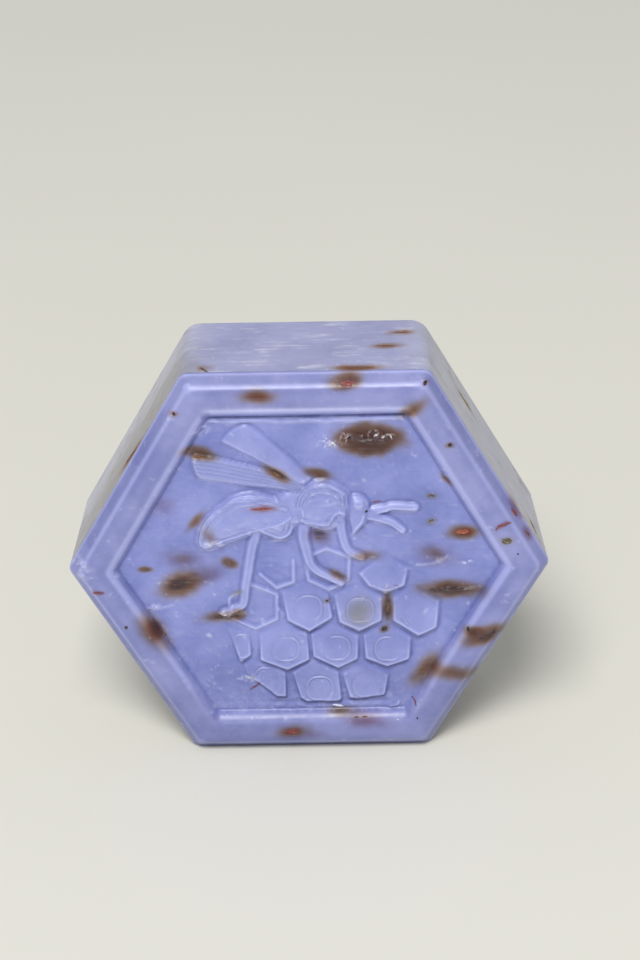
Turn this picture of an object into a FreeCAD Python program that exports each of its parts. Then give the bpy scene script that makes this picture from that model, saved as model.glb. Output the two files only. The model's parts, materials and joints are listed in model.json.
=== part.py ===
"""Hexagonal bar of cast soap: bevelled rim, bee-on-honeycomb relief, dried plant pieces in the soap.

Millimetres, +Z up. The bar stands on its lower wall, as it does on a shelf: X runs across its
corners, its patterned front looks towards -Y and its flat back towards +Y. The origin is the middle
of the box around the standing bar, at floor level.

Everything is drawn in the casting's own frame first. There the front edge lies in the plane y = 0,
the back in y = WALL_DEPTH, and the relief rises towards -Y. The walls narrow towards the back, so
the bar that stands on its lower wall leans back by the same angle; stand() turns each piece so.
"""
import FreeCAD, Part
import math
import os

os.makedirs("parts", exist_ok=True)

# The bar
FRONT_SIDE = 40.0          # side of the hexagon at the front edge: 80 across its corners
BACK_SIDE = 39.1           # the walls draw in towards the back
WALL_DEPTH = 24.4          # front edge to flat back
FRONT_CORNER_R = 1.8
BACK_CORNER_R = 3.5
BACK_EDGE_R = 1.4

# The rim and the sunken panel, as insets from the wall and rises in front of the front edge
CREST_OUTER_INSET = 2.0
CREST_INNER_INSET = 5.4
PANEL_INSET = 7.25
CREST_RISE = 2.4
PANEL_RISE = 0.6
CREST_CORNER_R = 1.2
PANEL_CORNER_R = 0.5
ARRIS_R = 0.7

# The relief, as rises above the panel
WING_RISE = 0.6
BODY_RISE = 1.4
HEAD_RISE = 1.2
LEG_RISE = 0.8
CELL_RISE = 0.75
CELL_LINE_RISE = 0.5
FLASH_RISE = 0.3
ROOT = 0.4                 # how far each raised piece reaches into the soap below it

# The honeycomb cells, which stand on a corner
CELL_HEIGHT = 9.0
CELL_LINE_WIDTH = 0.65

# The plant pieces
PETAL_THICK = 0.35
FLAKE_THICK = 0.25
FIBRE_R = 0.18
PROUD = 0.1                # how far a piece that shows stands out of the soap
BURIED = 1.2               # how far below the surface a piece lies that only shows as a shadow

APOTHEM = FRONT_SIDE * math.cos(math.radians(30))
DRAFT = math.atan((FRONT_SIDE - BACK_SIDE) * math.cos(math.radians(30)) / WALL_DEPTH)
INTO_SOAP = FreeCAD.Vector(0, 1, 0)
CENTRE = FreeCAD.Vector(0, 0, APOTHEM)


def inset_side(inset):
    """Side of the hexagon whose walls lie this far inside the front edge's."""
    return FRONT_SIDE - 2 * inset / math.sqrt(3)


def outward(degrees):
    """Unit direction in the plane of the front, turned from X towards Z."""
    return FreeCAD.Vector(math.cos(math.radians(degrees)), 0, math.sin(math.radians(degrees)))


def corner_arcs(side, y, corner_r):
    """The rounded corners of a hexagon at this depth: the start, middle and end of each arc."""
    run = corner_r * math.tan(math.radians(30))
    crown = corner_r / math.cos(math.radians(30)) - corner_r
    arcs = []
    for k in range(6):
        corner = CENTRE + outward(60 * k) * side + INTO_SOAP * y
        start = corner + outward(60 * k - 120) * run
        end = corner + outward(60 * k + 120) * run
        arcs.append((start, corner - outward(60 * k) * crown, end))
    return arcs


def hexagon(arcs):
    """Flat face inside the rounded corners, joined by straight sides."""
    edges = []
    for k in range(6):
        edges.append(Part.Arc(*arcs[k]).toShape())
        edges.append(Part.makeLine(arcs[k][2], arcs[(k + 1) % 6][0]))
    return Part.Face(Part.Wire(edges))


def taper(side_a, y_a, r_a, side_b, y_b, r_b):
    """Solid between two hexagons at two depths, with flat sides and ruled faces round the corners."""
    near = corner_arcs(side_a, y_a, r_a)
    far = corner_arcs(side_b, y_b, r_b)
    faces = [hexagon(near), hexagon(far)]
    for k in range(6):
        n = (k + 1) % 6
        near_arc = Part.Arc(*near[k]).toShape()
        far_arc = Part.Arc(*far[k]).toShape()
        faces.append(Part.makeRuledSurface(near_arc, far_arc))
        flat = [near[k][2], near[n][0], far[n][0], far[k][2]]
        faces.append(Part.Face(Part.makePolygon(flat + flat[:1])))
    shell = Part.makeShell(faces)
    shell.sewShape()
    solid = Part.makeSolid(shell)
    if solid.Volume < 0:
        solid.reverse()
    return solid


def edges_at(shape, y):
    """The edges that lie in the plane at this depth."""
    return [e for e in shape.Edges if all(abs(v.Y - y) < 1e-6 for v in e.Vertexes)]


def block():
    """The bar's walls and back, with the back edge rounded."""
    bar = taper(FRONT_SIDE, 0, FRONT_CORNER_R, BACK_SIDE, WALL_DEPTH, BACK_CORNER_R)
    return bar.makeFillet(BACK_EDGE_R, edges_at(bar, WALL_DEPTH))


def rim():
    """The bevelled rim in front of the front edge, with the panel sunk in it."""
    crest = taper(FRONT_SIDE, 0, FRONT_CORNER_R,
                  inset_side(CREST_OUTER_INSET), -CREST_RISE, CREST_CORNER_R)
    sunk = taper(inset_side(CREST_INNER_INSET), -CREST_RISE, CREST_CORNER_R,
                 inset_side(PANEL_INSET), -PANEL_RISE, PANEL_CORNER_R)
    ring = crest.cut(sunk)
    return ring.makeFillet(ARRIS_R, edges_at(ring, -CREST_RISE))


def at(x, z, rise):
    """Point at this place on the front, this far above the panel."""
    return FreeCAD.Vector(x, -PANEL_RISE - rise, z)


def plate(outline, rise_at):
    """Flat-sided plate on the panel. rise_at gives the height of its face at each corner."""
    foot = [at(x, z, -ROOT) for x, z in outline]
    face = [at(x, z, rise_at(x, z)) for x, z in outline]
    faces = [Part.Face(Part.makePolygon(foot + foot[:1])), Part.Face(Part.makePolygon(face + face[:1]))]
    for k in range(len(outline)):
        n = (k + 1) % len(outline)
        faces.append(Part.Face(Part.makePolygon([foot[k], foot[n], face[n], face[k], foot[k]])))
    solid = Part.makeSolid(Part.makeShell(faces))
    if solid.Volume < 0:
        solid.reverse()
    return solid


def curve(points, rise, scale):
    """Smooth closed curve through points, drawn in about their middle, at one height."""
    mid_x = sum(p[0] for p in points) / len(points)
    mid_z = sum(p[1] for p in points) / len(points)
    drawn = [at(mid_x + (x - mid_x) * scale, mid_z + (z - mid_z) * scale, rise) for x, z in points]
    spline = Part.BSplineCurve()
    spline.interpolate(Points=drawn, PeriodicFlag=True)
    return Part.Wire([spline.toShape()])


def pad(points, rise, top_scale):
    """Raised pad with a smooth outline and sloping sides."""
    return Part.makeLoft([curve(points, -ROOT, 1.0), curve(points, rise, top_scale)], True, True)


def raised_line(points, width, rise):
    """Raised line of one width along the points, with round ends and corners."""
    solids = []
    for x, z in points:
        solids.append(Part.makeCylinder(width / 2, rise + ROOT, at(x, z, rise), INTO_SOAP))
    for (x0, z0), (x1, z1) in zip(points, points[1:]):
        along = math.hypot(x1 - x0, z1 - z0)
        side_x = -(z1 - z0) / along * width / 2
        side_z = (x1 - x0) / along * width / 2
        corners = [(x0 + side_x, z0 + side_z), (x1 + side_x, z1 + side_z),
                   (x1 - side_x, z1 - side_z), (x0 - side_x, z0 - side_z)]
        ring = [at(x, z, rise) for x, z in corners]
        solids.append(Part.Face(Part.makePolygon(ring + ring[:1])).extrude(INTO_SOAP * (rise + ROOT)))
    return solids[0].fuse(solids[1:]).removeSplitter()


def comb_plates():
    """The solid cells: each face slopes out of the panel and is proudest at its lower corner.

    Those at the left and the bottom are cut off by the edge of the pattern.
    """
    outlines = [
        [(12.4, 37.0), (16.7, 34.2), (16.0, 30.8), (12.7, 29.3), (9.7, 30.8), (8.0, 33.2)],
        [(-0.6, 31.8), (3.2, 29.8), (4.0, 25.0), (-0.1, 22.4), (-3.9, 24.5), (-4.9, 30.2)],
        [(8.0, 31.3), (12.3, 28.8), (12.2, 24.3), (8.2, 22.3), (4.8, 24.0), (3.8, 29.4)],
        [(17.2, 30.8), (21.9, 28.0), (21.4, 22.8), (18.0, 21.2), (13.7, 24.2), (13.6, 28.6)],
        [(-14.2, 23.9), (-10.0, 22.2), (-9.8, 18.0), (-11.9, 16.5)],
        [(-4.5, 23.9), (-0.3, 22.0), (0.0, 17.0), (-3.9, 15.0), (-8.6, 17.0), (-8.7, 22.0)],
        [(4.2, 23.7), (8.3, 21.6), (8.1, 17.0), (4.6, 15.2), (0.3, 17.5), (-0.1, 22.0)],
        [(12.7, 23.6), (17.1, 21.2), (16.8, 16.8), (12.8, 15.4), (9.1, 17.0), (8.7, 21.6)],
        [(-11.6, 16.5), (-9.0, 16.8), (-4.1, 14.8), (-4.1, 9.8), (-5.9, 9.9), (-10.9, 14.3)],
        [(0.3, 17.0), (4.8, 14.6), (5.3, 9.3), (4.5, 8.8), (-0.8, 8.8), (-1.9, 9.6), (-3.3, 14.6)],
        [(9.2, 16.4), (13.3, 14.0), (12.6, 9.9), (8.2, 9.2), (6.4, 9.4), (5.1, 14.2)],
    ]
    plates = []
    for outline in outlines:
        top = max(z for x, z in outline)
        plates.append(plate(outline, lambda x, z: 0.1 + (CELL_RISE - 0.1) * (top - z) / CELL_HEIGHT))
    return plates


def comb_lines():
    """The cells beside the bee's legs are drawn by their walls only."""
    whole = [(3.0, 37.9), (6.7, 36.2), (6.5, 32.0), (3.3, 30.3), (-0.1, 32.1), (-0.6, 36.2)]
    left = [(-8.1, 33.3), (-5.4, 30.8), (-2.6, 31.8), (-2.6, 35.8)]
    lower = [(-9.7, 31.5), (-5.5, 29.5), (-5.5, 24.9), (-9.1, 23.1), (-12.9, 25.1)]
    walls = [whole + whole[:1], left, lower]
    return [raised_line(points, CELL_LINE_WIDTH, CELL_LINE_RISE) for points in walls]


def bee():
    """The bee: two wings, abdomen, thorax and head as pads, antennae and legs as lines."""
    upper_wing = [(-9.5, 60.6), (-11.5, 60.1), (-13.7, 58.3), (-13.3, 57.2), (-10.5, 55.4),
                  (-7.0, 53.2), (-4.3, 51.5), (-1.0, 50.2), (0.9, 50.8), (-1.0, 53.0),
                  (-4.5, 56.4), (-7.2, 59.0)]
    lower_wing = [(-18.8, 55.4), (-15.8, 55.1), (-13.0, 54.4), (-8.0, 53.0), (-3.5, 51.3),
                  (0.0, 49.8), (-2.1, 48.1), (-5.0, 48.8), (-10.0, 49.5), (-15.0, 50.5),
                  (-17.8, 51.0), (-18.7, 53.0)]
    abdomen = [(-3.0, 46.8), (-8.5, 48.7), (-12.8, 47.9), (-16.3, 45.0), (-18.5, 41.8), (-18.8, 39.0),
               (-17.5, 37.9), (-15.0, 38.2), (-12.0, 39.5), (-8.0, 40.6), (-5.0, 39.6), (-2.7, 40.4),
               (-1.6, 42.3)]
    thorax = [(-2.8, 46.8), (0.9, 50.7), (3.5, 50.6), (6.0, 49.4), (7.2, 47.6), (6.9, 44.0), (5.3, 41.4),
              (2.0, 41.2), (-0.8, 42.2)]
    head = [(7.3, 47.7), (9.3, 47.4), (10.1, 46.3), (10.0, 43.5), (9.0, 42.0), (7.4, 40.6), (6.9, 43.0)]
    pads = [pad(upper_wing, WING_RISE, 0.9), pad(lower_wing, WING_RISE, 0.9),
            pad(abdomen, BODY_RISE, 0.75), pad(thorax, BODY_RISE, 0.75), pad(head, HEAD_RISE, 0.75)]
    limbs = [([(9.9, 44.5), (12.5, 45.1), (14.0, 45.5), (17.6, 45.3)], 1.1),
             ([(9.8, 43.9), (12.0, 43.3), (13.8, 42.6), (15.5, 41.2)], 1.1),
             ([(-8.6, 41.0), (-9.4, 38.0), (-10.6, 31.0), (-11.3, 27.6), (-14.4, 26.2)], 1.3),
             ([(-0.7, 42.0), (-0.8, 40.0), (-0.1, 36.5), (1.5, 33.8), (5.3, 31.6)], 1.3),
             ([(5.4, 44.0), (5.4, 41.8), (6.3, 38.0), (8.8, 36.2)], 1.1)]
    return pads + [raised_line(points, width, LEG_RISE) for points, width in limbs]


def flash():
    """Thin wavy line of flash along the top of the panel."""
    points = [(-16.2, 60.5), (-15, 61.3), (-8, 61.2), (0, 61.4), (8, 61.2), (15.4, 61.3)]
    return raised_line(points, 0.4, FLASH_RISE)


def front_seat(x, z, above_panel, turn):
    """Place on the front for a plant piece: its point, outward normal and lengthwise direction.

    The turn is the angle from X towards Z that the piece's length shows from straight ahead.
    """
    place = FreeCAD.Vector(x, 0, z - APOTHEM)
    out = max([outward(60 * k + 30) for k in range(6)], key=place.dot)
    inset = APOTHEM - place.dot(out)
    face_out = INTO_SOAP * -1
    if inset < CREST_OUTER_INSET:
        rise = CREST_RISE * inset / CREST_OUTER_INSET
        normal = out * CREST_RISE + face_out * CREST_OUTER_INSET
    elif inset < CREST_INNER_INSET:
        rise = CREST_RISE
        normal = face_out
    elif inset < PANEL_INSET:
        fall = CREST_RISE - PANEL_RISE
        run = PANEL_INSET - CREST_INNER_INSET
        rise = CREST_RISE - fall * (inset - CREST_INNER_INSET) / run
        normal = face_out * run - out * fall
    else:
        rise = PANEL_RISE + above_panel
        normal = face_out
    normal = FreeCAD.Vector(normal).normalize()
    seen = outward(turn)
    lengthwise = seen - INTO_SOAP * (seen.dot(normal) / normal.y)
    return FreeCAD.Vector(x, -rise, z), normal, lengthwise.normalize()


def wall_seat(wall, along, depth, turn):
    """Place on a wall: 0 is the upper right one, counting up by 60 degrees the way X turns to Z.

    The turn is the angle of the piece's length from the wall's own edge towards the back.
    """
    out = outward(60 * wall + 30)
    up_wall = FreeCAD.Vector(-out.z, 0, out.x)
    point = CENTRE + out * (APOTHEM - depth * math.tan(DRAFT)) + up_wall * along + INTO_SOAP * depth
    normal = out * math.cos(DRAFT) + INTO_SOAP * math.sin(DRAFT)
    down_draft = INTO_SOAP * math.cos(DRAFT) - out * math.sin(DRAFT)
    lengthwise = up_wall * math.cos(math.radians(turn)) + down_draft * math.sin(math.radians(turn))
    return point, normal, lengthwise


def seated(shape, seat, sink):
    """Put a piece drawn flat about the origin, its length along X, on its place in the soap."""
    point, normal, length = seat
    across = normal.cross(length)
    to_seat = FreeCAD.Matrix(length.x, across.x, normal.x, 0, length.y, across.y, normal.y, 0,
                             length.z, across.z, normal.z, 0, 0, 0, 0, 1)
    moved = shape.copy()
    moved.Placement = FreeCAD.Placement(to_seat)
    moved.translate(point - normal * sink)
    return moved


def bud(length, breadth):
    """Dried bud: a spindle turned about its own length."""
    half = length / 2
    ellipse = Part.Ellipse(FreeCAD.Vector(0, 0, 0), half, breadth / 2)
    axis = Part.makeLine(FreeCAD.Vector(-half, 0, 0), FreeCAD.Vector(half, 0, 0))
    section = Part.Face(Part.Wire([ellipse.toShape(0, math.pi), axis]))
    return section.revolve(FreeCAD.Vector(0, 0, 0), FreeCAD.Vector(1, 0, 0), 360)


def petal(length, breadth):
    """Dried petal: a thin leaf shape between two arcs, lying flat."""
    half = length / 2
    tip_a = FreeCAD.Vector(-half, 0, -PETAL_THICK / 2)
    tip_b = FreeCAD.Vector(half, 0, -PETAL_THICK / 2)
    upper = Part.Arc(tip_a, FreeCAD.Vector(0, breadth / 2, -PETAL_THICK / 2), tip_b)
    lower = Part.Arc(tip_b, FreeCAD.Vector(0, -breadth / 2, -PETAL_THICK / 2), tip_a)
    outline = Part.Face(Part.Wire([upper.toShape(), lower.toShape()]))
    return outline.extrude(FreeCAD.Vector(0, 0, PETAL_THICK))


def flake(length, breadth):
    """Broken flake: a thin flat piece with five straight sides."""
    outline = [(-0.5, -0.3), (-0.3, 0.4), (0.1, 0.5), (0.5, 0.2), (0.3, -0.5)]
    ring = [FreeCAD.Vector(length * u, breadth * v, -FLAKE_THICK / 2) for u, v in outline]
    return Part.Face(Part.makePolygon(ring + ring[:1])).extrude(FreeCAD.Vector(0, 0, FLAKE_THICK))


def seed(length, breadth):
    """Seed or crumb: a small ball, as wide as it is long."""
    return Part.makeSphere((length + breadth) / 4)


def fibre(length, breadth):
    """Bent fibre: a round thread along an arc that bows by its breadth."""
    half = length / 2
    path = Part.Arc(FreeCAD.Vector(-half, 0, 0), FreeCAD.Vector(0, breadth, 0), FreeCAD.Vector(half, 0, 0))
    spine = path.toShape()
    start = spine.tangentAt(spine.FirstParameter)
    ring = Part.Wire([Part.makeCircle(FIBRE_R, FreeCAD.Vector(-half, 0, 0), start)])
    return Part.Wire([spine]).makePipeShell([ring], True, False)


def front_pieces():
    """Plant pieces in the front: name, shape, length, breadth, turn, x, z, height over the panel."""
    return [
        ("bud_top_right", bud, 8.4, 2.6, -3, 10.1, 57.6, 0.0),
        ("bud_right", bud, 4.0, 1.7, 4, 25.4, 40.5, 0.0),
        ("bud_long_right", bud, 9.6, 1.3, 0, 23.0, 29.8, 0.0),
        ("bud_left", bud, 4.8, 2.4, 12, -21.5, 31.5, 0.0),
        ("bud_bee_foot", bud, 5.6, 1.3, 6, -14.4, 25.4, 0.0),
        ("bud_rim_lower_right", bud, 4.4, 1.9, 18, 29.4, 21.8, 0.0),
        ("petal_wing_tip", petal, 3.6, 1.1, -6, -17.2, 55.0, WING_RISE),
        ("petal_between_wings", petal, 3.4, 1.3, -18, -4.9, 51.7, WING_RISE),
        ("petal_wing_root", petal, 2.2, 0.9, -35, 1.5, 51.3, 0.0),
        ("petal_abdomen", petal, 4.8, 0.9, 0, -7.4, 45.8, BODY_RISE),
        ("petal_antenna", petal, 2.6, 0.6, 6, 11.4, 46.3, 0.0),
        ("petal_under_thorax", petal, 2.6, 1.6, -55, 1.7, 39.6, 0.0),
        ("petal_panel_left", petal, 3.0, 1.0, -60, -24.4, 22.2, 0.0),
        ("petal_cell_gap", petal, 3.6, 0.8, 90, 13.0, 26.6, 0.0),
        ("petal_cell_top", petal, 1.6, 0.5, 0, 14.4, 31.0, 0.5),
        ("petal_rim_bottom", petal, 4.4, 1.7, 8, -3.3, 3.9, 0.0),
        ("petal_rim_top", petal, 3.9, 1.5, 6, 6.8, 68.0, 0.0),
        ("petal_rim_corner", petal, 2.4, 1.0, 40, 17.1, 63.0, 0.0),
        ("petal_panel_right", petal, 2.4, 0.7, -55, 22.7, 50.2, 0.0),
        ("petal_edge_right", petal, 3.4, 0.9, -60, 33.9, 44.1, 0.0),
        ("petal_edge_corner", petal, 2.2, 0.8, -60, 36.2, 40.1, 0.0),
        ("petal_rim_inner_right", petal, 4.0, 1.0, 50, 18.7, 14.2, 0.0),
        ("petal_panel_bottom", petal, 5.0, 1.2, 0, 8.4, 6.3, 0.0),
        ("flake_right_upper", flake, 1.8, 0.9, -12, 20.3, 47.2, 0.0),
        ("flake_right_lower", flake, 1.5, 0.8, 30, 20.2, 42.6, 0.0),
        ("flake_rim_right", flake, 2.2, 1.4, 4, 32.6, 39.5, 0.0),
        ("flake_white", flake, 2.0, 0.5, -8, 4.5, 7.9, 0.0),
        ("flake_rim_left", flake, 0.8, 0.9, 20, -30.7, 24.4, 0.0),
        ("flake_panel_left", flake, 1.7, 0.5, 0, -27.1, 34.4, 0.0),
        ("flake_bee_leg", flake, 1.9, 0.8, -35, -13.1, 35.4, 0.0),
        ("fibre_rim_right", fibre, 2.6, 0.4, 24, 32.0, 42.3, 0.0),
        ("fibre_rim_left", fibre, 2.2, 0.15, 4, -35.0, 31.0, 0.0),
        ("fibre_comb_left", fibre, 2.6, 0.4, 30, -9.3, 11.8, 0.3),
        ("fibre_rim_lower", fibre, 1.7, 0.4, -55, 17.3, 8.9, 0.0),
        ("seed_eye", seed, 0.7, 0.7, 0, 9.6, 44.9, HEAD_RISE),
        ("seed_cell", seed, 0.5, 0.5, 0, 2.9, 28.2, 0.2),
        ("seed_panel_lower_right", seed, 0.9, 0.7, 0, 12.4, 22.6, 0.0),
        ("seed_rim_top_right", seed, 0.7, 0.5, 0, 19.3, 67.8, 0.0),
        ("seed_rim_upper_right", seed, 0.8, 0.6, 0, 23.2, 57.1, 0.0),
        ("seed_rim_right", seed, 0.5, 0.4, 0, 34.5, 37.1, 0.0),
        ("seed_rim_lower_right", seed, 0.8, 0.7, 0, 26.5, 23.0, 0.0),
        ("seed_rim_bottom_right", seed, 0.5, 0.5, 0, 17.9, 6.1, 0.0),
        ("seed_rim_upper_left", seed, 0.8, 0.6, 0, -21.3, 63.3, 0.0),
    ]


def buried_pieces():
    """Plant pieces just below the front, which show only as soft shadows."""
    return [
        ("buried_bud_right", bud, 5.2, 2.2, -20, 21.2, 36.2),
        ("buried_bud_left", bud, 4.6, 2.0, -5, -20.4, 36.0),
        ("buried_bud_rim_lower_right", bud, 3.6, 1.8, -6, 24.2, 14.6),
        ("buried_petal_rim_top_left", petal, 4.0, 1.6, 0, -8.4, 65.9),
    ]


def wall_pieces():
    """Plant pieces in the walls: name, shape, length, breadth, turn, wall, along it, depth."""
    return [
        ("flake_wall_top", flake, 3.2, 0.8, 62, 1, 16.4, 1.8),
        ("petal_wall_top_front", petal, 7.6, 1.1, 0, 1, -8.2, 1.7),
        ("petal_wall_top_middle", petal, 4.2, 1.0, 2, 1, -13.3, 11.3),
        ("petal_wall_top_back", petal, 3.4, 1.1, 0, 1, -16.0, 17.5),
        ("petal_wall_upper_right_front", petal, 3.6, 1.0, 50, 0, -15.2, 4.5),
        ("petal_wall_upper_right_back", petal, 5.4, 1.0, 4, 0, 6.1, 15.3),
        ("petal_wall_upper_left", petal, 6.6, 1.1, 28, 2, -2.2, 2.2),
        ("petal_wall_lower_right_middle", petal, 5.8, 1.3, 16, 5, -4.8, 9.0),
        ("petal_wall_lower_right_back", petal, 9.4, 1.1, 76, 5, 11.3, 13.5),
        ("petal_wall_lower_left", petal, 6.4, 1.1, 86, 3, 9.6, 4.6),
    ]


def plant_pieces():
    """Every plant piece by name, in the casting's frame."""
    pieces = {}
    for name, make, length, breadth, turn, x, z, above in front_pieces():
        sink = breadth * 0.3 if make is bud else PETAL_THICK / 2 - PROUD
        pieces[name] = seated(make(length, breadth), front_seat(x, z, above, turn), sink)
    for name, make, length, breadth, turn, x, z in buried_pieces():
        sink = BURIED + (breadth / 2 if make is bud else 0)
        pieces[name] = seated(make(length, breadth), front_seat(x, z, 0.0, turn), sink)
    for name, make, length, breadth, turn, wall, along, depth in wall_pieces():
        sink = PETAL_THICK / 2 - PROUD
        pieces[name] = seated(make(length, breadth), wall_seat(wall, along, depth, turn), sink)
    return pieces


def soap(pieces):
    """The one casting, with a pocket for each plant piece."""
    raised = comb_plates() + comb_lines() + bee() + [flash()]
    whole = block().fuse([rim()] + raised).removeSplitter()
    return whole.cut(list(pieces.values())).Solids[0]


def stand(shape, shift):
    """Turn a piece from the casting's frame to the standing bar's."""
    turned = shape.copy()
    turned.rotate(FreeCAD.Vector(0, 0, 0), FreeCAD.Vector(1, 0, 0), -math.degrees(DRAFT))
    turned.translate(shift)
    return turned


plant = plant_pieces()
body = soap(plant)
box = stand(body, FreeCAD.Vector(0, 0, 0)).optimalBoundingBox(False)
to_origin = FreeCAD.Vector(-box.Center.x, -box.Center.y, -box.ZMin)
stand(body, to_origin).exportStep("parts/soap_body.step")
for name, piece in plant.items():
    stand(piece, to_origin).exportStep("parts/" + name + ".step")

print("box", box.XLength, box.YLength, box.ZLength, "shift", to_origin.y, to_origin.z)
print("soap volume", body.Volume, "valid", body.isValid(), "plant pieces", len(plant))
print("plant volume", sum(piece.Volume for piece in plant.values()),
      "bad", [name for name, piece in plant.items() if not piece.isValid() or len(piece.Solids) != 1])
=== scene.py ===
"""The looks of a hexagonal bar of cast soap: bevelled rim, bee-on-honeycomb relief, dried plant pieces.

The bar is worked out in the casting's own frame, in millimetres: X across the corners, Z up the
front, Y into the soap from the plane of the front edge. standing() turns that into the frame, in
metres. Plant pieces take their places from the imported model's nodes.
"""
import bpy
import json
import math
import numpy as np
from mathutils import Matrix, Vector


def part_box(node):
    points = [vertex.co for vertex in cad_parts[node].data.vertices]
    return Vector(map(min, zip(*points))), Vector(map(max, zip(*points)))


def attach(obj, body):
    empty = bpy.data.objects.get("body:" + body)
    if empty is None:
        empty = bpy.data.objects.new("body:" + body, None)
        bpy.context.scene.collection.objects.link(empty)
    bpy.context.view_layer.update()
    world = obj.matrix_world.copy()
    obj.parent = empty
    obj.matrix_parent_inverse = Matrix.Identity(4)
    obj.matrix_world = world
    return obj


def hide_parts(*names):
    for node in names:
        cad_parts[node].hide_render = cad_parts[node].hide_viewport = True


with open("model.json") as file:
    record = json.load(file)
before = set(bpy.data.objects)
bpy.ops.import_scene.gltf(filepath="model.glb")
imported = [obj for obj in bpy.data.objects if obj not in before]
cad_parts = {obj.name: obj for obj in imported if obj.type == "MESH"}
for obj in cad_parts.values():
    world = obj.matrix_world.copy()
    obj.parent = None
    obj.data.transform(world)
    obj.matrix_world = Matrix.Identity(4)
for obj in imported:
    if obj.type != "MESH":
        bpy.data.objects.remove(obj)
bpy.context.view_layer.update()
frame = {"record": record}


# ------------------------ the casting's shape
# One pour of soap in a flexible mould: a drafted hexagonal block with rounded corners, a bevelled rim
# and a sunken panel. It stands on its lower wall, so it leans back by the draft of that wall.
FRONT_SIDE = 40.0
BACK_SIDE = 39.1
WALL_DEPTH = 24.4
APOTHEM = FRONT_SIDE * math.cos(math.radians(30))
TAPER = (FRONT_SIDE - BACK_SIDE) * math.cos(math.radians(30)) / WALL_DEPTH
LEAN = math.atan(TAPER)
PANEL_RISE = 0.6
PANEL_INSET = 7.25
FRONT_EDGE_STANDS_AT = -12.1036   # the front edge's line on the floor, in the frame's Y


def standing(points):
    """Casting frame in millimetres to the standing bar in metres.

    The bar is turned about X by its lean, then shifted in Y.
    """
    x, y, z = points[..., 0], points[..., 1], points[..., 2]
    c, s = math.cos(LEAN), math.sin(LEAN)
    return np.stack([x, y * c + z * s + FRONT_EDGE_STANDS_AT, z * c - y * s], axis=-1) / 1000


def casting_place(name):
    """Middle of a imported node's box, turned back into the casting frame in millimetres."""
    low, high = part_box(name)
    mid = np.array((low + high) / 2) * 1000
    c, s = math.cos(LEAN), math.sin(LEAN)
    y, z = mid[1] - FRONT_EDGE_STANDS_AT, mid[2]
    return np.array([mid[0], y * c - z * s, y * s + z * c])


def eased(t):
    """0 below 0, 1 above 1, and 3t^2 - 2t^3 between."""
    t = np.clip(t, 0, 1)
    return t * t * (3 - 2 * t)


LATTICE = 97                      # random values along a side of the lattice, before they repeat
LATTICE_START = (31.3, 17.7)


def unevenness(a, b, cell, seed):
    """Smooth random height from -1 to 1: random values on a square lattice, eased into each other."""
    table = np.random.default_rng(seed).uniform(-1, 1, (LATTICE, LATTICE))
    ga, gb = np.asarray(a) / cell + LATTICE_START[0], np.asarray(b) / cell + LATTICE_START[1]
    ia, ib = np.floor(ga).astype(int), np.floor(gb).astype(int)
    fa, fb = eased(ga - ia), eased(gb - ib)
    i, j, k, m = ia % LATTICE, ib % LATTICE, (ia + 1) % LATTICE, (ib + 1) % LATTICE
    low = table[i, j] * (1 - fa) + table[k, j] * fa
    high = table[i, m] * (1 - fa) + table[k, m] * fa
    return low * (1 - fb) + high * fb


def wall_angle(wall):
    """Turn of a wall's outward normal from X towards Z. Wall 0 is the upper right one."""
    return np.radians(60 * wall + 30)


def nearest_wall(x, z):
    """Inset from the nearest wall's line, the place along that wall, and the wall's number.

    The inset is the apothem less the greatest of the six distances along the walls' outward normals.
    """
    angles = wall_angle(np.arange(6))
    up = np.stack([x * math.cos(a) + (z - APOTHEM) * math.sin(a) for a in angles])
    wall = up.argmax(0)
    along = -x * np.sin(angles[wall]) + (z - APOTHEM) * np.cos(angles[wall])
    return APOTHEM - up.max(0), along, wall


RIM_LINE = [(-3, -3.6), (0, 0), (1.8, 2.18), (3.2, 2.44), (4.4, 2.42), (5.3, 2.34), (6.1, 2.02),
            (6.7, 1.50), (PANEL_INSET, PANEL_RISE), (14, PANEL_RISE)]       # inset and rise


def rim_profile(inset):
    """Rise in front of the front edge at an inset: straight bevels and crest, rounded into each other.

    The straight runs are sampled finely and averaged over a bell-shaped window, wide on the crest
    and narrow where the inner bevel meets the panel in a crease.
    """
    step, reach = 0.02, 50
    fine = np.arange(-3, 14, step)
    straight = np.interp(fine, *np.array(RIM_LINE).T)
    rounded = []
    for spread in (0.30, 0.10):
        bell = np.exp(-0.5 * (step * np.arange(-reach, reach + 1) / spread) ** 2)
        padded = np.pad(straight, reach, mode="edge")
        rounded.append(np.convolve(padded, bell / bell.sum(), mode="valid"))
    crease = 0.08 * np.exp(-((fine - 7.42) / 0.16) ** 2)
    profile = rounded[0] + (rounded[1] - rounded[0]) * eased((fine - 6.2) / 0.5) - crease
    return np.interp(inset, fine, profile)


# ------------------------ the relief
# The pattern that the mould gives the panel: a bee in flight to the right, above a patch of
# honeycomb. Each raised part is a height over the panel, and the soap takes the highest at any place.
def flowing(points, closed=False, steps=6):
    """Points along a smooth curve through the given ones.

    Each span is the cubic whose slope at either end is half the step between the points beside it.
    """
    p = np.array(points, float)
    if closed:
        p = np.vstack([p[-1], p, p[0], p[1]])
    else:
        p = np.vstack([2 * p[0] - p[1], p, 2 * p[-1] - p[-2]])
    a, b, c, d = p[:-3], p[1:-2], p[2:-1], p[3:]
    t = np.linspace(0, 1, steps, endpoint=False)[:, None, None]
    cubic = 0.5 * (2 * b + (c - a) * t + (2 * a - 5 * b + 4 * c - d) * t ** 2
                   + (3 * b - a - 3 * c + d) * t ** 3)
    path = cubic.transpose(1, 0, 2).reshape(-1, 2)
    return np.vstack([path, path[0] if closed else p[-2]])


FAR = 99.0


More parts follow.
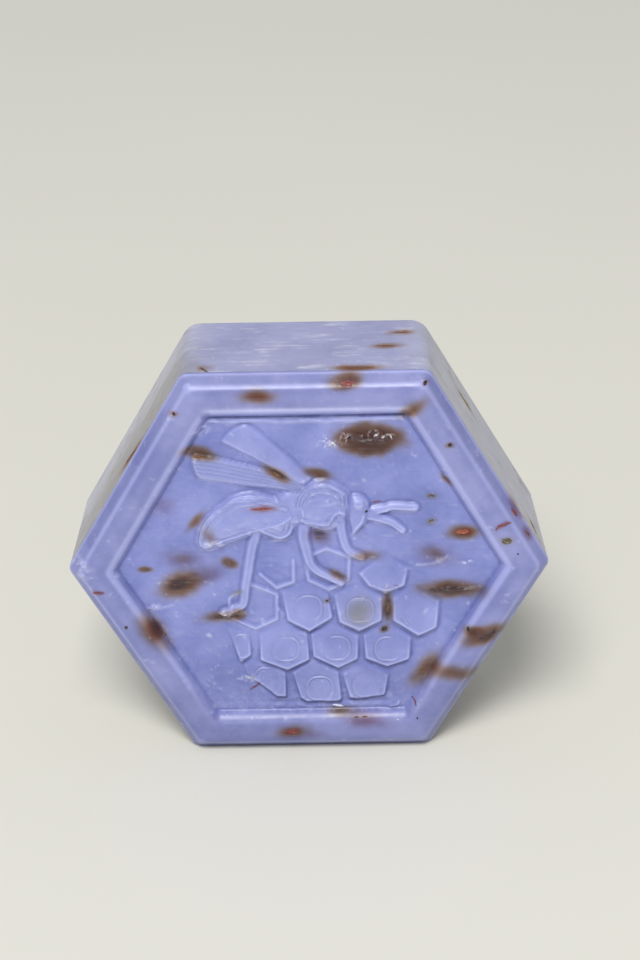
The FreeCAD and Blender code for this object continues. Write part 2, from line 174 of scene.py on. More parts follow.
def path_gap(x, z, path, reach=5.0):
    """Distance to the nearest point of a path, and how far along the path that is, from 0 to 1."""
    gap, share = np.full(x.shape, FAR), np.zeros(x.shape)
    near = ((x > path[:, 0].min() - reach) & (x < path[:, 0].max() + reach)
            & (z > path[:, 1].min() - reach) & (z < path[:, 1].max() + reach))
    px, pz = x[near], z[near]
    best, where = np.full(px.shape, FAR), np.zeros(px.shape)
    for k, (start, end) in enumerate(zip(path[:-1], path[1:])):
        step = end - start
        to_x, to_z = px - start[0], pz - start[1]
        t = np.clip((to_x * step[0] + to_z * step[1]) / (step @ step + 1e-12), 0, 1)
        away = np.hypot(to_x - t * step[0], to_z - t * step[1])
        where = np.where(away < best, (k + t) / (len(path) - 1), where)
        best = np.minimum(away, best)
    gap[near], share[near] = best, where
    return gap, share


def depth_inside(x, z, loop):
    """Distance to a closed path, positive inside it.

    A place is inside if a ray from it crosses the path an odd number of times.
    """
    inside = np.zeros(x.shape, bool)
    for a, b in zip(loop[:-1], loop[1:]):
        crossed = (a[1] > z) != (b[1] > z)
        inside ^= crossed & (x < a[0] + (z - a[1]) * (b[0] - a[0]) / (b[1] - a[1] + 1e-12))
    gap = path_gap(x, z, loop)[0]
    return np.where(inside, gap, -gap)


HALVING = 0.693                   # the exponential of minus this is a half


def ridge(gap, width, rise):
    """Raised line: a bell that is at half its rise at half the width from the middle."""
    return rise * np.exp(-HALVING * (gap / (width / 2)) ** 2)


def ridges(x, z, lines):
    """Sum of ridges along smooth paths. A row: points, width, rise."""
    return sum(ridge(path_gap(x, z, flowing(points))[0], width, rise) for points, width, rise in lines)


def bar_line(gap, width, rise):
    """Raised bar: level across its width, with rounded shoulders about half a millimetre wide."""
    shoulder, past_edge = 0.48, 0.22
    return rise * eased((width / 2 + past_edge - gap) / shoulder)


def rounded_edge(inside, edge, rise):
    """Quarter-round rise from the outline inwards, level past the edge's width."""
    t = np.clip(inside / edge, 0, 1)
    return rise * np.sqrt(np.clip(1 - (1 - t) ** 2, 0, 1))


# Outlines as places across and up the front: the cells' corners, then smooth loops round the bee.
PLATES = [
    [(12.4, 37), (16.7, 34.2), (16, 30.8), (12.7, 29.3), (9.7, 30.8), (8, 33.2)],
    [(-0.6, 31.8), (3.2, 29.8), (4, 25), (-0.1, 22.4), (-3.9, 24.5), (-4.9, 30.2)],
    [(8, 31.3), (12.3, 28.8), (12.2, 24.3), (8.2, 22.3), (4.8, 24), (3.8, 29.4)],
    [(17.2, 30.8), (21.9, 28), (21.4, 22.8), (18, 21.2), (13.7, 24.2), (13.6, 28.6)],
    [(-14.2, 23.9), (-10, 22.2), (-9.8, 18), (-11.9, 16.5)],
    [(-4.5, 23.9), (-0.3, 22), (0, 17), (-3.9, 15), (-8.6, 17), (-8.7, 22)],
    [(4.2, 23.7), (8.3, 21.6), (8.1, 17), (4.6, 15.2), (0.3, 17.5), (-0.1, 22)],
    [(12.7, 23.6), (17.1, 21.2), (16.8, 16.8), (12.8, 15.4), (9.1, 17), (8.7, 21.6)],
    [(-11.6, 16.5), (-9, 16.8), (-4.1, 14.8), (-4.1, 9.8), (-5.9, 9.9), (-10.9, 14.3)],
    [(0.3, 17), (4.8, 14.6), (5.3, 9.3), (4.5, 8.8), (-0.8, 8.8), (-1.9, 9.6), (-3.3, 14.6)],
    [(9.2, 16.4), (13.3, 14), (12.6, 9.9), (8.2, 9.2), (6.4, 9.4), (5.1, 14.2)],
]
UPPER_WING = flowing([(-13.9, 57.6), (-13, 59.1), (-11.5, 60.1), (-9.5, 60.6), (-7.2, 59),
                      (-4.5, 56.4), (-2.2, 54.2), (0, 51.8), (0.9, 50.8), (-0.8, 49.6),
                      (-3, 50.8), (-5.5, 52.4), (-9, 54.6), (-12.5, 56.6)], closed=True)
WING_TOP = [(-18.8, 55.4), (-15.8, 55.1), (-13, 54.4), (-10, 53.6), (-6.5, 52.5), (-3, 51),
            (0, 49.6)]
WING_FOOT = [(-0.4, 47.6), (-2.1, 48.1), (-5, 48.8), (-7.5, 49.2), (-10, 49.5), (-15, 50.5),
             (-17.8, 51)]
LOWER_WING = flowing(WING_TOP + WING_FOOT + [(-18.6, 52.4)], closed=True)
ABDOMEN = flowing([(-1.6, 44.6), (-3, 46.8), (-5, 47.5), (-8.5, 48.7), (-10.5, 48.6), (-12.8, 47.9),
                   (-14.5, 46.6), (-16.3, 45), (-18, 42.8), (-18.8, 40.5), (-18.8, 39),
                   (-18, 38), (-16.2, 37.9), (-13.5, 38.9), (-10.5, 40.1), (-8.4, 40.7),
                   (-7, 40.3), (-5, 39.5), (-3.5, 39.7), (-2.3, 41)], closed=True)
THORAX = flowing([(-2.4, 47.3), (-0.8, 49.6), (0.9, 50.7), (2.3, 50.8), (3.5, 50.6), (5, 50.1),
                  (6.8, 48.5), (7.3, 46.4), (6.9, 44), (5.6, 42), (4.4, 41.6), (3.3, 41.2),
                  (2, 41.2), (0.5, 42), (-0.8, 42.2), (-1.9, 43.2), (-2.6, 45.2)], closed=True)


HEAD = flowing([(7, 47.5), (8.3, 47.8), (9.3, 47.4), (10.1, 46.3), (10.1, 44.5), (9.8, 42.8),
                (9, 42), (7.4, 40.4), (7, 41.6), (6.6, 44)], closed=True)


def fine_lines(x, z):
    """Phase of the finest ridges, one ridge to each whole number, and how much of them shows.

    They run lengthwise on the lower wing, evenly between its sides, and along the outlines of the
    thorax and the abdomen, evenly spaced inwards. Each cell has one, part of a rounded square.
    """
    phase, shown = np.zeros(x.shape), np.zeros(x.shape)
    arc_half_width, power = 2.1, 2.6
    for number, corners in enumerate(PLATES):
        loop = np.array(corners + corners[:1], float)
        middle_x, middle_z = loop[:-1].mean(0) + (0.2, -0.4)
        out = (np.abs(x - middle_x) ** power + np.abs(z - middle_z) ** power) ** (1 / power)
        broken = eased(0.5 + 2.5 * unevenness(x, z, 3.2, 80 + number))
        kept = eased((0.5 - np.abs(out - arc_half_width)) / 0.1) * broken
        kept = kept * eased((depth_inside(x, z, loop) - 0.3) / 0.3)
        phase = np.where(kept > 0, 1 + (out - arc_half_width) / 1.1, phase)
        shown = np.maximum(shown, 0.8 * kept)
    top = np.interp(x, *np.array(WING_TOP).T)
    foot = np.interp(x, *np.array(WING_FOOT[::-1]).T)
    wing, belly, chest = (depth_inside(x, z, outline) for outline in (LOWER_WING, ABDOMEN, THORAX))
    patchy_belly = eased(0.7 + unevenness(x, z, 1.8, 62))
    patchy_chest = eased(0.6 + 1.2 * unevenness(x, z, 1.4, 64) + 0.15 * (z - 45.5))
    for inside, lines, kept in (
            (wing, 6 * (top - z) / np.maximum(top - foot, 0.5), eased((wing - 0.15) / 0.3)),
            (belly, belly / 0.75 + 0.3 * unevenness(x, z, 2.2, 61),
             eased((belly - 0.2) / 0.3) * eased((2.4 - belly) / 0.6) * patchy_belly),
            (chest, chest / 0.62 + 0.4 * unevenness(x, z, 1.7, 63),
             eased((chest - 0.2) / 0.3) * eased((3.0 - chest) / 1.2) * patchy_chest)):
        phase = np.where(inside > 0, lines, phase)
        shown = np.where(inside > 0, kept, shown)
    return phase, shown


def honeycomb(x, z):
    """Cells as scales: each slopes out of the panel and is proudest at its lower corner.

    A cell's height grows with the drop from its top corner, times a steep rounded edge; a thin lip
    follows the lower edges, a groove surrounds the cell, and a faint ring is pressed in its face.
    """
    high, groove, lines = np.zeros(x.shape), np.zeros(x.shape), np.zeros(x.shape)
    for number, corners in enumerate(PLATES):
        loop = np.array(corners + corners[:1], float)
        inside = depth_inside(x, z, loop)
        top, foot = loop[:, 1].max(), loop[:, 1].min()
        drop = np.clip((top - z) / 9.0, 0, 1.1)
        lower = eased((top - z) / (top - foot) * 2.2 - 0.7)
        side = eased((inside + 0.05) / 0.45)
        middle_x, middle_z = loop[:-1].mean(0) - (0, 0.4)
        out = np.hypot(x - middle_x, (z - middle_z) * 0.92)
        half = eased(0.5 + (unevenness(x, z, 3.0, 40 + number) + 0.15) * 2.5)
        ring = 0.10 * np.exp(-((out - 2.25) / 0.24) ** 2) * half
        dish = 0.05 * eased((2.4 - out) / 0.5) * (inside > 0)
        lip = ridge(inside - 0.32, 0.4, 0.14) * lower
        face = (0.1 + 0.78 * drop) * side + lip - ring - dish
        high = np.maximum(high, np.where(inside > -0.3, face, 0))
        around = 0.16 * np.exp(-((inside + 0.35) / 0.32) ** 2)
        groove = np.maximum(groove, around * (0.35 + 0.65 * lower))
    whole = [(3.0, 37.9), (6.7, 36.2), (6.5, 32.0), (3.3, 30.3), (-0.1, 32.1), (-0.6, 36.2), (3.0, 37.9)]
    left = [(-8.1, 33.3), (-5.4, 30.8), (-2.6, 31.8), (-2.6, 35.8)]
    lower_left = [(-9.7, 31.5), (-5.5, 29.5), (-5.5, 24.9), (-9.1, 23.1), (-12.9, 25.1)]
    for corners in (whole, left, lower_left):
        gap = path_gap(x, z, np.array(corners, float))[0]
        lines = np.maximum(lines, bar_line(gap, 0.72, 0.42) - ridge(gap, 0.22, 0.08))
    return np.maximum(high, lines), groove


def wings(x, z):
    """Two wings as low plates with rounded edges, and short ridges at the root of the upper one."""
    inside = depth_inside(x, z, UPPER_WING)
    upper = rounded_edge(inside, 0.8, 0.52) + 0.22 * eased(inside / 2.4)
    for points in ([(-5.0, 55.4), (-2.4, 53.2), (0.2, 50.8)], [(-4.6, 54.2), (-2.4, 52.4), (-0.4, 50.6)],
                   [(-4.2, 53.0), (-2.4, 51.6), (-1.2, 50.4)]):
        gap, share = path_gap(x, z, flowing(points))
        upper += ridge(gap, 0.4, 0.09) * eased(share * 3)
    lower = rounded_edge(depth_inside(x, z, LOWER_WING), 0.8, 0.50)
    return np.maximum(np.where(inside > 0, upper, 0), lower)


BELLY_FOLDS = [
    ([(-17.9, 41.9), (-16.2, 44.1), (-14, 46.1), (-11.8, 47.6), (-9.2, 47.9)], 0.63, 0.24),
    ([(-16.5, 39.5), (-14.5, 39.8), (-12, 40.6), (-9.6, 41.4)], 0.45, 0.34),
    ([(-14.6, 38.8), (-12, 39.9), (-9.8, 40.7)], 0.405, 0.4),
    ([(-9, 47.9), (-6.5, 47.6), (-4.6, 46.6)], 0.45, 0.32),
    ([(-8.2, 46.9), (-5.5, 46.5), (-3.4, 45.6)], 0.405, 0.24),
    ([(-7.6, 41.6), (-6.2, 40.7), (-4.6, 40.3), (-3.2, 41), (-2.4, 42.3)], 0.45, 0.4),
    ([(-9.6, 41.4), (-7, 42.3), (-4.6, 43), (-2.6, 44.2)], 0.54, 0.28),
]
CHEST_FOLDS = [
    ([(1.2, 49.8), (3, 49.7), (4.6, 49.1), (5.8, 48)], 0.45, 0.32),
    ([(0.6, 48.4), (2.5, 48.7), (3.8, 48.4), (4.9, 47.6)], 0.45, 0.26),
    ([(0.4, 47.2), (2.2, 47.5), (3.4, 47.1)], 0.405, 0.2),
    ([(3.6, 46.5), (4.8, 46.9), (5.8, 46.4)], 0.45, 0.28),
    ([(-1.2, 43.5), (0, 43), (1.4, 42.8), (2.6, 42.6), (3.4, 42.8)], 0.45, 0.44),
    ([(-0.8, 42.5), (0.7, 42.2), (2.1, 41.6), (3.3, 41.6), (4.4, 42)], 0.405, 0.4),
    ([(3.5, 43), (4.3, 44.3), (5.2, 44.9), (6, 44.5)], 0.45, 0.4),
    ([(-2, 46.6), (-1, 45.4), (-0.8, 44.4)], 0.54, 0.24),
]


def bee_body(x, z):
    """Abdomen, thorax and head as rounded swellings with folds on them, and a waist between."""
    rough = 0.07 * unevenness(x + 0.6 * z, z, 0.8, 51) + 0.06 * unevenness(x - z, z, 1.5, 52)
    inside = depth_inside(x, z, ABDOMEN)
    belly = 0.95 * eased(inside / 1.5 + 0.15) + 0.30 * eased(inside / 4) + rough
    belly += ridges(x, z, BELLY_FOLDS)
    height = np.where(inside > 0, belly, 0)
    inside = depth_inside(x, z, THORAX)
    chest = 0.85 * eased(inside / 1.5 + 0.2) + 0.30 * eased(inside / 4) + 1.5 * rough
    chest += ridges(x, z, CHEST_FOLDS)
    height = np.maximum(height, np.where(inside > 0, chest, 0))
    waist = eased((1.3 - np.hypot((x + 2.4) / 3.0, (z - 45.6) / 3.0)) / 0.5)
    height = np.maximum(height, 0.95 * waist + rough)
    inside = depth_inside(x, z, HEAD)
    face = rounded_edge(inside, 1.5, 1.15)
    for points in ([(7.7, 46.7), (8.8, 46.7)], [(7.7, 46.1), (8.8, 46.1)],
                   [(8.0, 41.8), (8.8, 43.0), (9.2, 44.2)]):
        face += ridge(path_gap(x, z, np.array(points, float))[0], 0.40, 0.32)
    return np.maximum(height, np.where(inside > 0, face, 0))


LIMBS = [
    ([(9.8, 44.6), (12.5, 45.1), (14, 45.5), (17.6, 45.3)], 1.1, 1.1, 0.7),
    ([(9.8, 43.9), (12, 43.3), (13.8, 42.6), (15.5, 41.2)], 1.1, 1.0, 0.7),
    ([(-8.6, 41), (-9.4, 38), (-10, 34.5), (-10.6, 31), (-10.9, 28.5), (-11.3, 27.6),
      (-13, 26.7), (-14.4, 26.2)], 1.6, 1.0, 0.7),
    ([(-0.7, 42), (-0.8, 40), (-0.4, 38), (-0.1, 36.5), (0.4, 35), (1.5, 33.8), (3, 32.9),
      (5.3, 31.6)], 2.0, 0.9, 0.85),
    ([(5.4, 44), (5.4, 41.8), (5.8, 39.5), (6.3, 38), (7.2, 37), (8.8, 36.2)], 1.5, 0.9, 0.7),
]


def limbs(x, z):
    """Antennae and legs: bars with rounded shoulders that taper along smooth paths, and one foot's loop.

    A row of the table: points, width at the body, width at the tip, rise.
    """
    height = np.zeros(x.shape)
    for points, wide, narrow, rise in LIMBS:
        gap, share = path_gap(x, z, flowing(points))
        half = (wide + (narrow - wide) * share) / 2
        height = np.maximum(height, rise * eased((half + 0.35 - gap) / (0.9 * half)) ** 0.7)
    foot = [(-10.9, 30.4), (-11.9, 29.9), (-12.8, 29.4), (-13.4, 28.7), (-13.3, 27.2)]
    return np.maximum(height, ridges(x, z, [(foot, 0.6, 0.4)]))


SCRATCHES = [
    ([(13.4, 7.6), (14.6, 7.9), (14.9, 8.6)], 0.35, 0.3),
    ([(17.8, 34.7), (20.5, 35), (22, 35.6), (23.2, 36.4)], 0.4, 0.26),
    ([(-27.1, 27.2), (-25, 27.4), (-22.8, 27.9)], 0.4, 0.22),
    ([(25.5, 35), (27, 35)], 0.3, 0.12),
    ([(-5.1, 26.8), (-4.5, 25.9), (-4.6, 25.4)], 0.4, 0.3),
    ([(-14.6, 26.3), (-13.9, 25.6), (-13, 26)], 0.35, 0.3),
]


def mould_marks(x, z):
    """Flash lines above and below the panel's pattern, each beside a groove, and raised scratches."""
    top = flowing([(-16.3, 60.6), (-15.7, 61.3), (-12.0, 61.2), (-8.0, 61.35), (-4.0, 61.1), (0.0, 61.25),
                   (5.0, 61.1), (10.0, 61.35), (15.6, 61.4)])
    height = ridge(path_gap(x, z, top)[0] + 0.08 * unevenness(x, z, 1.1, 3), 0.46, 0.38)
    height -= ridge(z - 61.95 + 0.1 * unevenness(x, z, 2.0, 4), 0.45, 0.06) * (np.abs(x) < 15.5)
    foot = [(-9.5, 8.35), (-4.0, 8.2), (3.0, 8.1), (9.0, 8.2), (14.0, 8.0)]
    height += ridges(x, z, [(foot, 0.3, 0.16)]) * eased(0.5 + 1.4 * unevenness(x, z, 0.8, 5))
    height -= ridge(z - 8.75, 0.45, 0.22) * (x > -7) * (x < 13.5)
    return height + ridges(x, z, SCRATCHES)


# Patches of crumbs. A row: middle across and up, half width, half height, how many, their size.
CRUMB_PATCHES = [
    (11.2, 58.2, 2.9, 0.7, 26, 0.26), (6.2, 57.8, 0.9, 0.9, 12, 0.26), (4.4, 57, 1.6, 0.7, 12, 0.2),
    (-15.6, 39.2, 1.9, 0.8, 22, 0.24), (-9.8, 13.2, 2.2, 1.4, 16, 0.26), (-14, 60.4, 2, 0.5, 6, 0.2),
    (-37.2, 35, 1.8, 1.6, 14, 0.24), (-16, 14, 6, 4, 26, 0.22), (0, 34, 28, 24, 60, 0.16),
    (-26, 24, 1.6, 2.4, 8, 0.24), (22.2, 50.8, 1.2, 2, 8, 0.22), (24, 30.2, 4, 0.5, 10, 0.2),
    (-12, 26.3, 2.4, 0.5, 10, 0.22), (6, 9.6, 10, 0.6, 14, 0.18),
]


def crumbs(x, z):
    """Bubbles and crumbs as small round swellings, each a bell about its own middle."""
    rng = np.random.default_rng(11)
    height = np.zeros(x.shape)
    for mid_x, mid_z, half_x, half_z, count, size in CRUMB_PATCHES:
        turn, far = rng.uniform(0, 2 * math.pi, count), np.sqrt(rng.uniform(0, 1, count))
        sizes, rises = size * rng.uniform(0.7, 1.4, count), rng.uniform(0.5, 1.2, count)
        spots_x, spots_z = mid_x + half_x * far * np.cos(turn), mid_z + half_z * far * np.sin(turn)
        for spot_x, spot_z, wide, rise in zip(spots_x, spots_z, sizes, rises):
            near = (np.abs(x - spot_x) < 3 * wide) & (np.abs(z - spot_z) < 3 * wide)
            away = np.hypot(x[near] - spot_x, z[near] - spot_z)
            height[near] += 0.8 * wide * rise * np.exp(-(away / wide) ** 2)
    return height


def relief(x, z):
    """Height of the pattern over the panel: the highest part at each place, less the cells' grooves."""
    cells, groove = honeycomb(x, z)
    shape = np.maximum.reduce([cells, wings(x, z), bee_body(x, z), limbs(x, z)])
    return shape - groove * (1 - eased(shape / 0.25))


def front_rise(x, z):
    """Rise of the front: the rim's profile, slight waves, crumbs, and the relief over the panel."""
    inset = nearest_wall(x, z)[0]
    shape = relief(x, z) + mould_marks(x, z)
    waves = (0.05 * unevenness(x, z, 9.0, 1) + 0.02 * unevenness(x, z, 2.6, 2)
             + 0.01 * unevenness(x, z, 0.9, 6))
    return (rim_profile(inset) + shape * eased((inset - 6.6) / 0.9) + crumbs(x, z)
            + waves * eased(inset / 1.5))


# ------------------------ the casting
# Melt-and-pour soap, waxy and slightly translucent. The front is a grid whose rows and columns keep to
# the rim, so the mitres stay sharp; the walls and the flat back are rings that close it.
RIM_INSETS = np.array([0, 0.12, 0.3, 0.55, 0.85, 1.2, 1.55, 1.8, 2.0, 2.25, 2.6, 3.15, 3.8, 4.4, 4.9, 5.2,
                       5.45, 5.7, 6.0, 6.4, 6.8, 7.05, 7.2, 7.32, 7.44, 7.58, 7.75, 8.0, 8.3])
PANEL_ROWS = 109                  # each side of the middle row
PANEL_COLUMNS = 240
FRONT_CORNER, BACK_CORNER = 1.8, 3.5        # radii of the block's corners at its two faces
BACK_EDGE_ROUND = 1.4


def corner_arc(along, half_side, radius):
    """Place along a wall, and drop back from it, once arcs of this radius round the loop's corners."""
    run = radius * math.tan(math.radians(30)) + 1e-9
    bend = np.radians(30) * np.clip(1 - (half_side - np.abs(along)) / run, 0, 1)
    slid = np.where(bend > 0, np.sign(along) * (half_side - run + radius * np.sin(bend)), along)
    return slid, np.where(bend > 0, radius * (1 - np.cos(bend)), 0)


def round_the_axis(out, along, wall, depth):
    """Points from their distance out from the bar's axis, their place along a wall, and their depth."""
    angle = wall_angle(wall)
    return np.stack([out * np.cos(angle) - along * np.sin(angle), depth,
                     APOTHEM + out * np.sin(angle) + along * np.cos(angle)], axis=-1)


def averaged(height, passes):
    """Heights on the grid after passes that each add a quarter of either neighbour to half the height."""
    for axis in (0, 1) * passes:
        height = 0.5 * height + 0.25 * (np.roll(height, 1, axis) + np.roll(height, -1, axis))
    return height


def soap_front():
    """Grid of casting-frame points over the front, with each point's wall, share of it and painted light
    and shade.

    A row is level, at a rim inset or evenly spaced on the panel. Along it, columns keep the same rim
    insets from the slanting walls, and the rest share the width between. Near a corner a point slides
    onto the arc that rounds its own loop. The painted light and shade is how far a place stands above
    the average of those around it, with a little more on the rim's outer edge and its upper inner
    bevel, and less on its lower inner bevel. Above nought it is painted paler as a painted highlight
    on ridges, lips and arrises; below nought it is painted darker as painted shade in creases.
    """
    last = RIM_INSETS[-1]
    panel = APOTHEM + (APOTHEM - last) * np.linspace(-1, 1, 2 * PANEL_ROWS + 1)[1:-1]
    rows = np.concatenate([RIM_INSETS, panel, 2 * APOTHEM - RIM_INSETS[::-1]])
    half_width = FRONT_SIDE - np.abs(rows - APOTHEM) / math.sqrt(3)
    slant = RIM_INSETS / math.sin(math.radians(60))
    even = np.linspace(-1, 1, PANEL_COLUMNS + 1)[1:-1]
    even = even * (0.86 + 0.14 * np.abs(even) ** 1.5)
    left = slant[None, :] - half_width[:, None]
    x = np.hstack([left, (half_width - slant[-1])[:, None] * even[None, :], -left[:, ::-1]])
    z = np.repeat(rows[:, None], x.shape[1], axis=1)
    inset, along, wall = nearest_wall(x, z)
    radius = np.interp(inset, [0, 2.0, 5.4, PANEL_INSET, last], [FRONT_CORNER, 1.2, 1.2, 0.5, 0.0])
    half_side = (FRONT_SIDE - 2 * inset / math.sqrt(3)) / 2
    slid, drop = corner_arc(along, half_side, radius)
    exact = front_rise(x, z)
    rise = np.where(inset < last + 0.1, exact, 0.5 * exact + 0.5 * averaged(exact, 1))
    rise = np.where(inset < 1e-6, 0.0, rise)
    # Painted light and shade: the first term is a painted highlight on ridges and lips and painted shade in
    # creases; the next two add a painted highlight line along the rim's outer edge and a painted highlight
    # band on the upper inner bevel; the last is painted shade on the lower inner bevel.
    fold = (averaged(exact, 1) - averaged(exact, 5)) * eased((inset - 0.6) / 0.8)
    fold += 0.12 * np.exp(-(inset / 0.28) ** 2)
    fold += 0.05 * np.exp(-((inset - 5.8) / 0.6) ** 2) * eased((z - 10) / 30)
    fold -= 0.12 * np.exp(-((inset - 6.4) / 0.5) ** 2) * eased((14 - z) / 6)
    return round_the_axis(APOTHEM - inset - drop, slid, wall, -rise), wall, along / half_side, fold


def wall_ring(wall, share, depth, inset, radius):
    """Loop of points round the block at one depth.

    Each point keeps its share of its wall's length. Its distance from the axis is the apothem less
    the draft and the inset, and near a corner it follows an arc of this radius.
    """
    away = APOTHEM - depth * TAPER - inset
    half_side = away / math.sqrt(3)
    slid, drop = corner_arc(share * half_side, half_side, radius)
    return round_the_axis(away - drop, slid, wall, np.full(share.shape, depth))


def ring_band(first, second):
    """Quads between two loops of vertex numbers, the second deeper in the soap than the first."""
    return np.stack([np.roll(first, -1), first, second, np.roll(second, -1)], axis=-1).tolist()


def soap_mesh():
    """Points and faces of the closed casting, and the painted light and shade at each point.

    The front grid comes first. A band of many-sided faces takes its fine edge to a coarser loop, and
    loops follow down the walls, round the back edge by a quarter circle, and in to the middle.
    """
    front, wall, share, fold = soap_front()
    index = np.arange(wall.size).reshape(wall.shape)
    grid = np.stack([index[:-1, :-1], index[:-1, 1:], index[1:, 1:], index[1:, :-1]], -1)
    faces = grid.reshape(-1, 4).tolist()
    edge = np.concatenate([index[0, :-1], index[:-1, -1], index[-1, :0:-1], index[:0:-1, 0]])
    edge_share, edge_wall = share.ravel()[edge], wall.ravel()[edge]
    coarser, corner_from = 4, 0.88
    on_ring = (np.abs(edge_share) > corner_from) | (np.arange(len(edge)) % coarser == 0)
    kept = np.flatnonzero(on_ring)
    depths = [0.35, 0.7, 0.95, 1.2, 1.7] + list(np.linspace(2.4, WALL_DEPTH - BACK_EDGE_ROUND, 26))
    lip = np.interp(depths, [0, 0.7, 1.0, 1.5, 25], [0, 0.0, 0.07, 0.02, 0.0])
    corners = np.interp(depths, [0, WALL_DEPTH], [FRONT_CORNER, BACK_CORNER])
    rings = list(zip(depths, lip, corners))
    for turn in np.radians([15, 30, 45, 60, 75, 90]):
        rings.append((WALL_DEPTH - BACK_EDGE_ROUND * (1 - math.sin(turn)),
                      BACK_EDGE_ROUND * (1 - math.cos(turn)), BACK_CORNER))
    for inset in (2.2, 4.0, 7.0, 11.0, 16.0, 21.0, 26.0, 30.5):
        rings.append((WALL_DEPTH, inset, min(BACK_CORNER, (33.8 - inset) * 0.8)))
    loops = [wall_ring(edge_wall[kept], edge_share[kept], *ring) for ring in rings]
    start, size = index.size, len(kept)
    for k, (a, b) in enumerate(zip(kept, np.append(kept[1:], len(edge)))):
        fine = [int(edge[i % len(edge)]) for i in range(b, a - 1, -1)]
        faces.append(fine + [start + k, start + (k + 1) % size])
    numbers = [start + size * k + np.arange(size) for k in range(len(loops))]
    for first, second in zip(numbers[:-1], numbers[1:]):
        faces += ring_band(first, second)
    middle = start + size * len(loops)
    faces += [[int(numbers[-1][(k + 1) % size]), int(numbers[-1][k]), middle] for k in range(size)]
    centre = np.array([[0, WALL_DEPTH, APOTHEM]])
    points = np.vstack([front.reshape(-1, 3)] + loops + [centre])
    return points, faces, np.concatenate([fold.ravel(), np.zeros(len(points) - fold.size)])


def new_piece(name, points, faces, material, body="root"):
    """Smooth-shaded mesh object at the origin from casting-frame points, riding on its body."""
    mesh = bpy.data.meshes.new(name)
    mesh.from_pydata(standing(points).tolist(), [], faces)
    mesh.polygons.foreach_set("use_smooth", np.ones(len(mesh.polygons), bool))
    mesh.materials.append(material)
    mesh.update()
    piece = bpy.data.objects.new(name, mesh)
    bpy.context.scene.collection.objects.link(piece)
    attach(piece, body)
    return piece


def paint(piece, name, values):
    """Store one number, or one colour, per vertex."""
    colour = values.ndim == 2
    layer = piece.data.attributes.new(name, "FLOAT_COLOR" if colour else "FLOAT", "POINT")
    layer.data.foreach_set("color" if colour else "value", np.ascontiguousarray(values, np.float32).ravel())


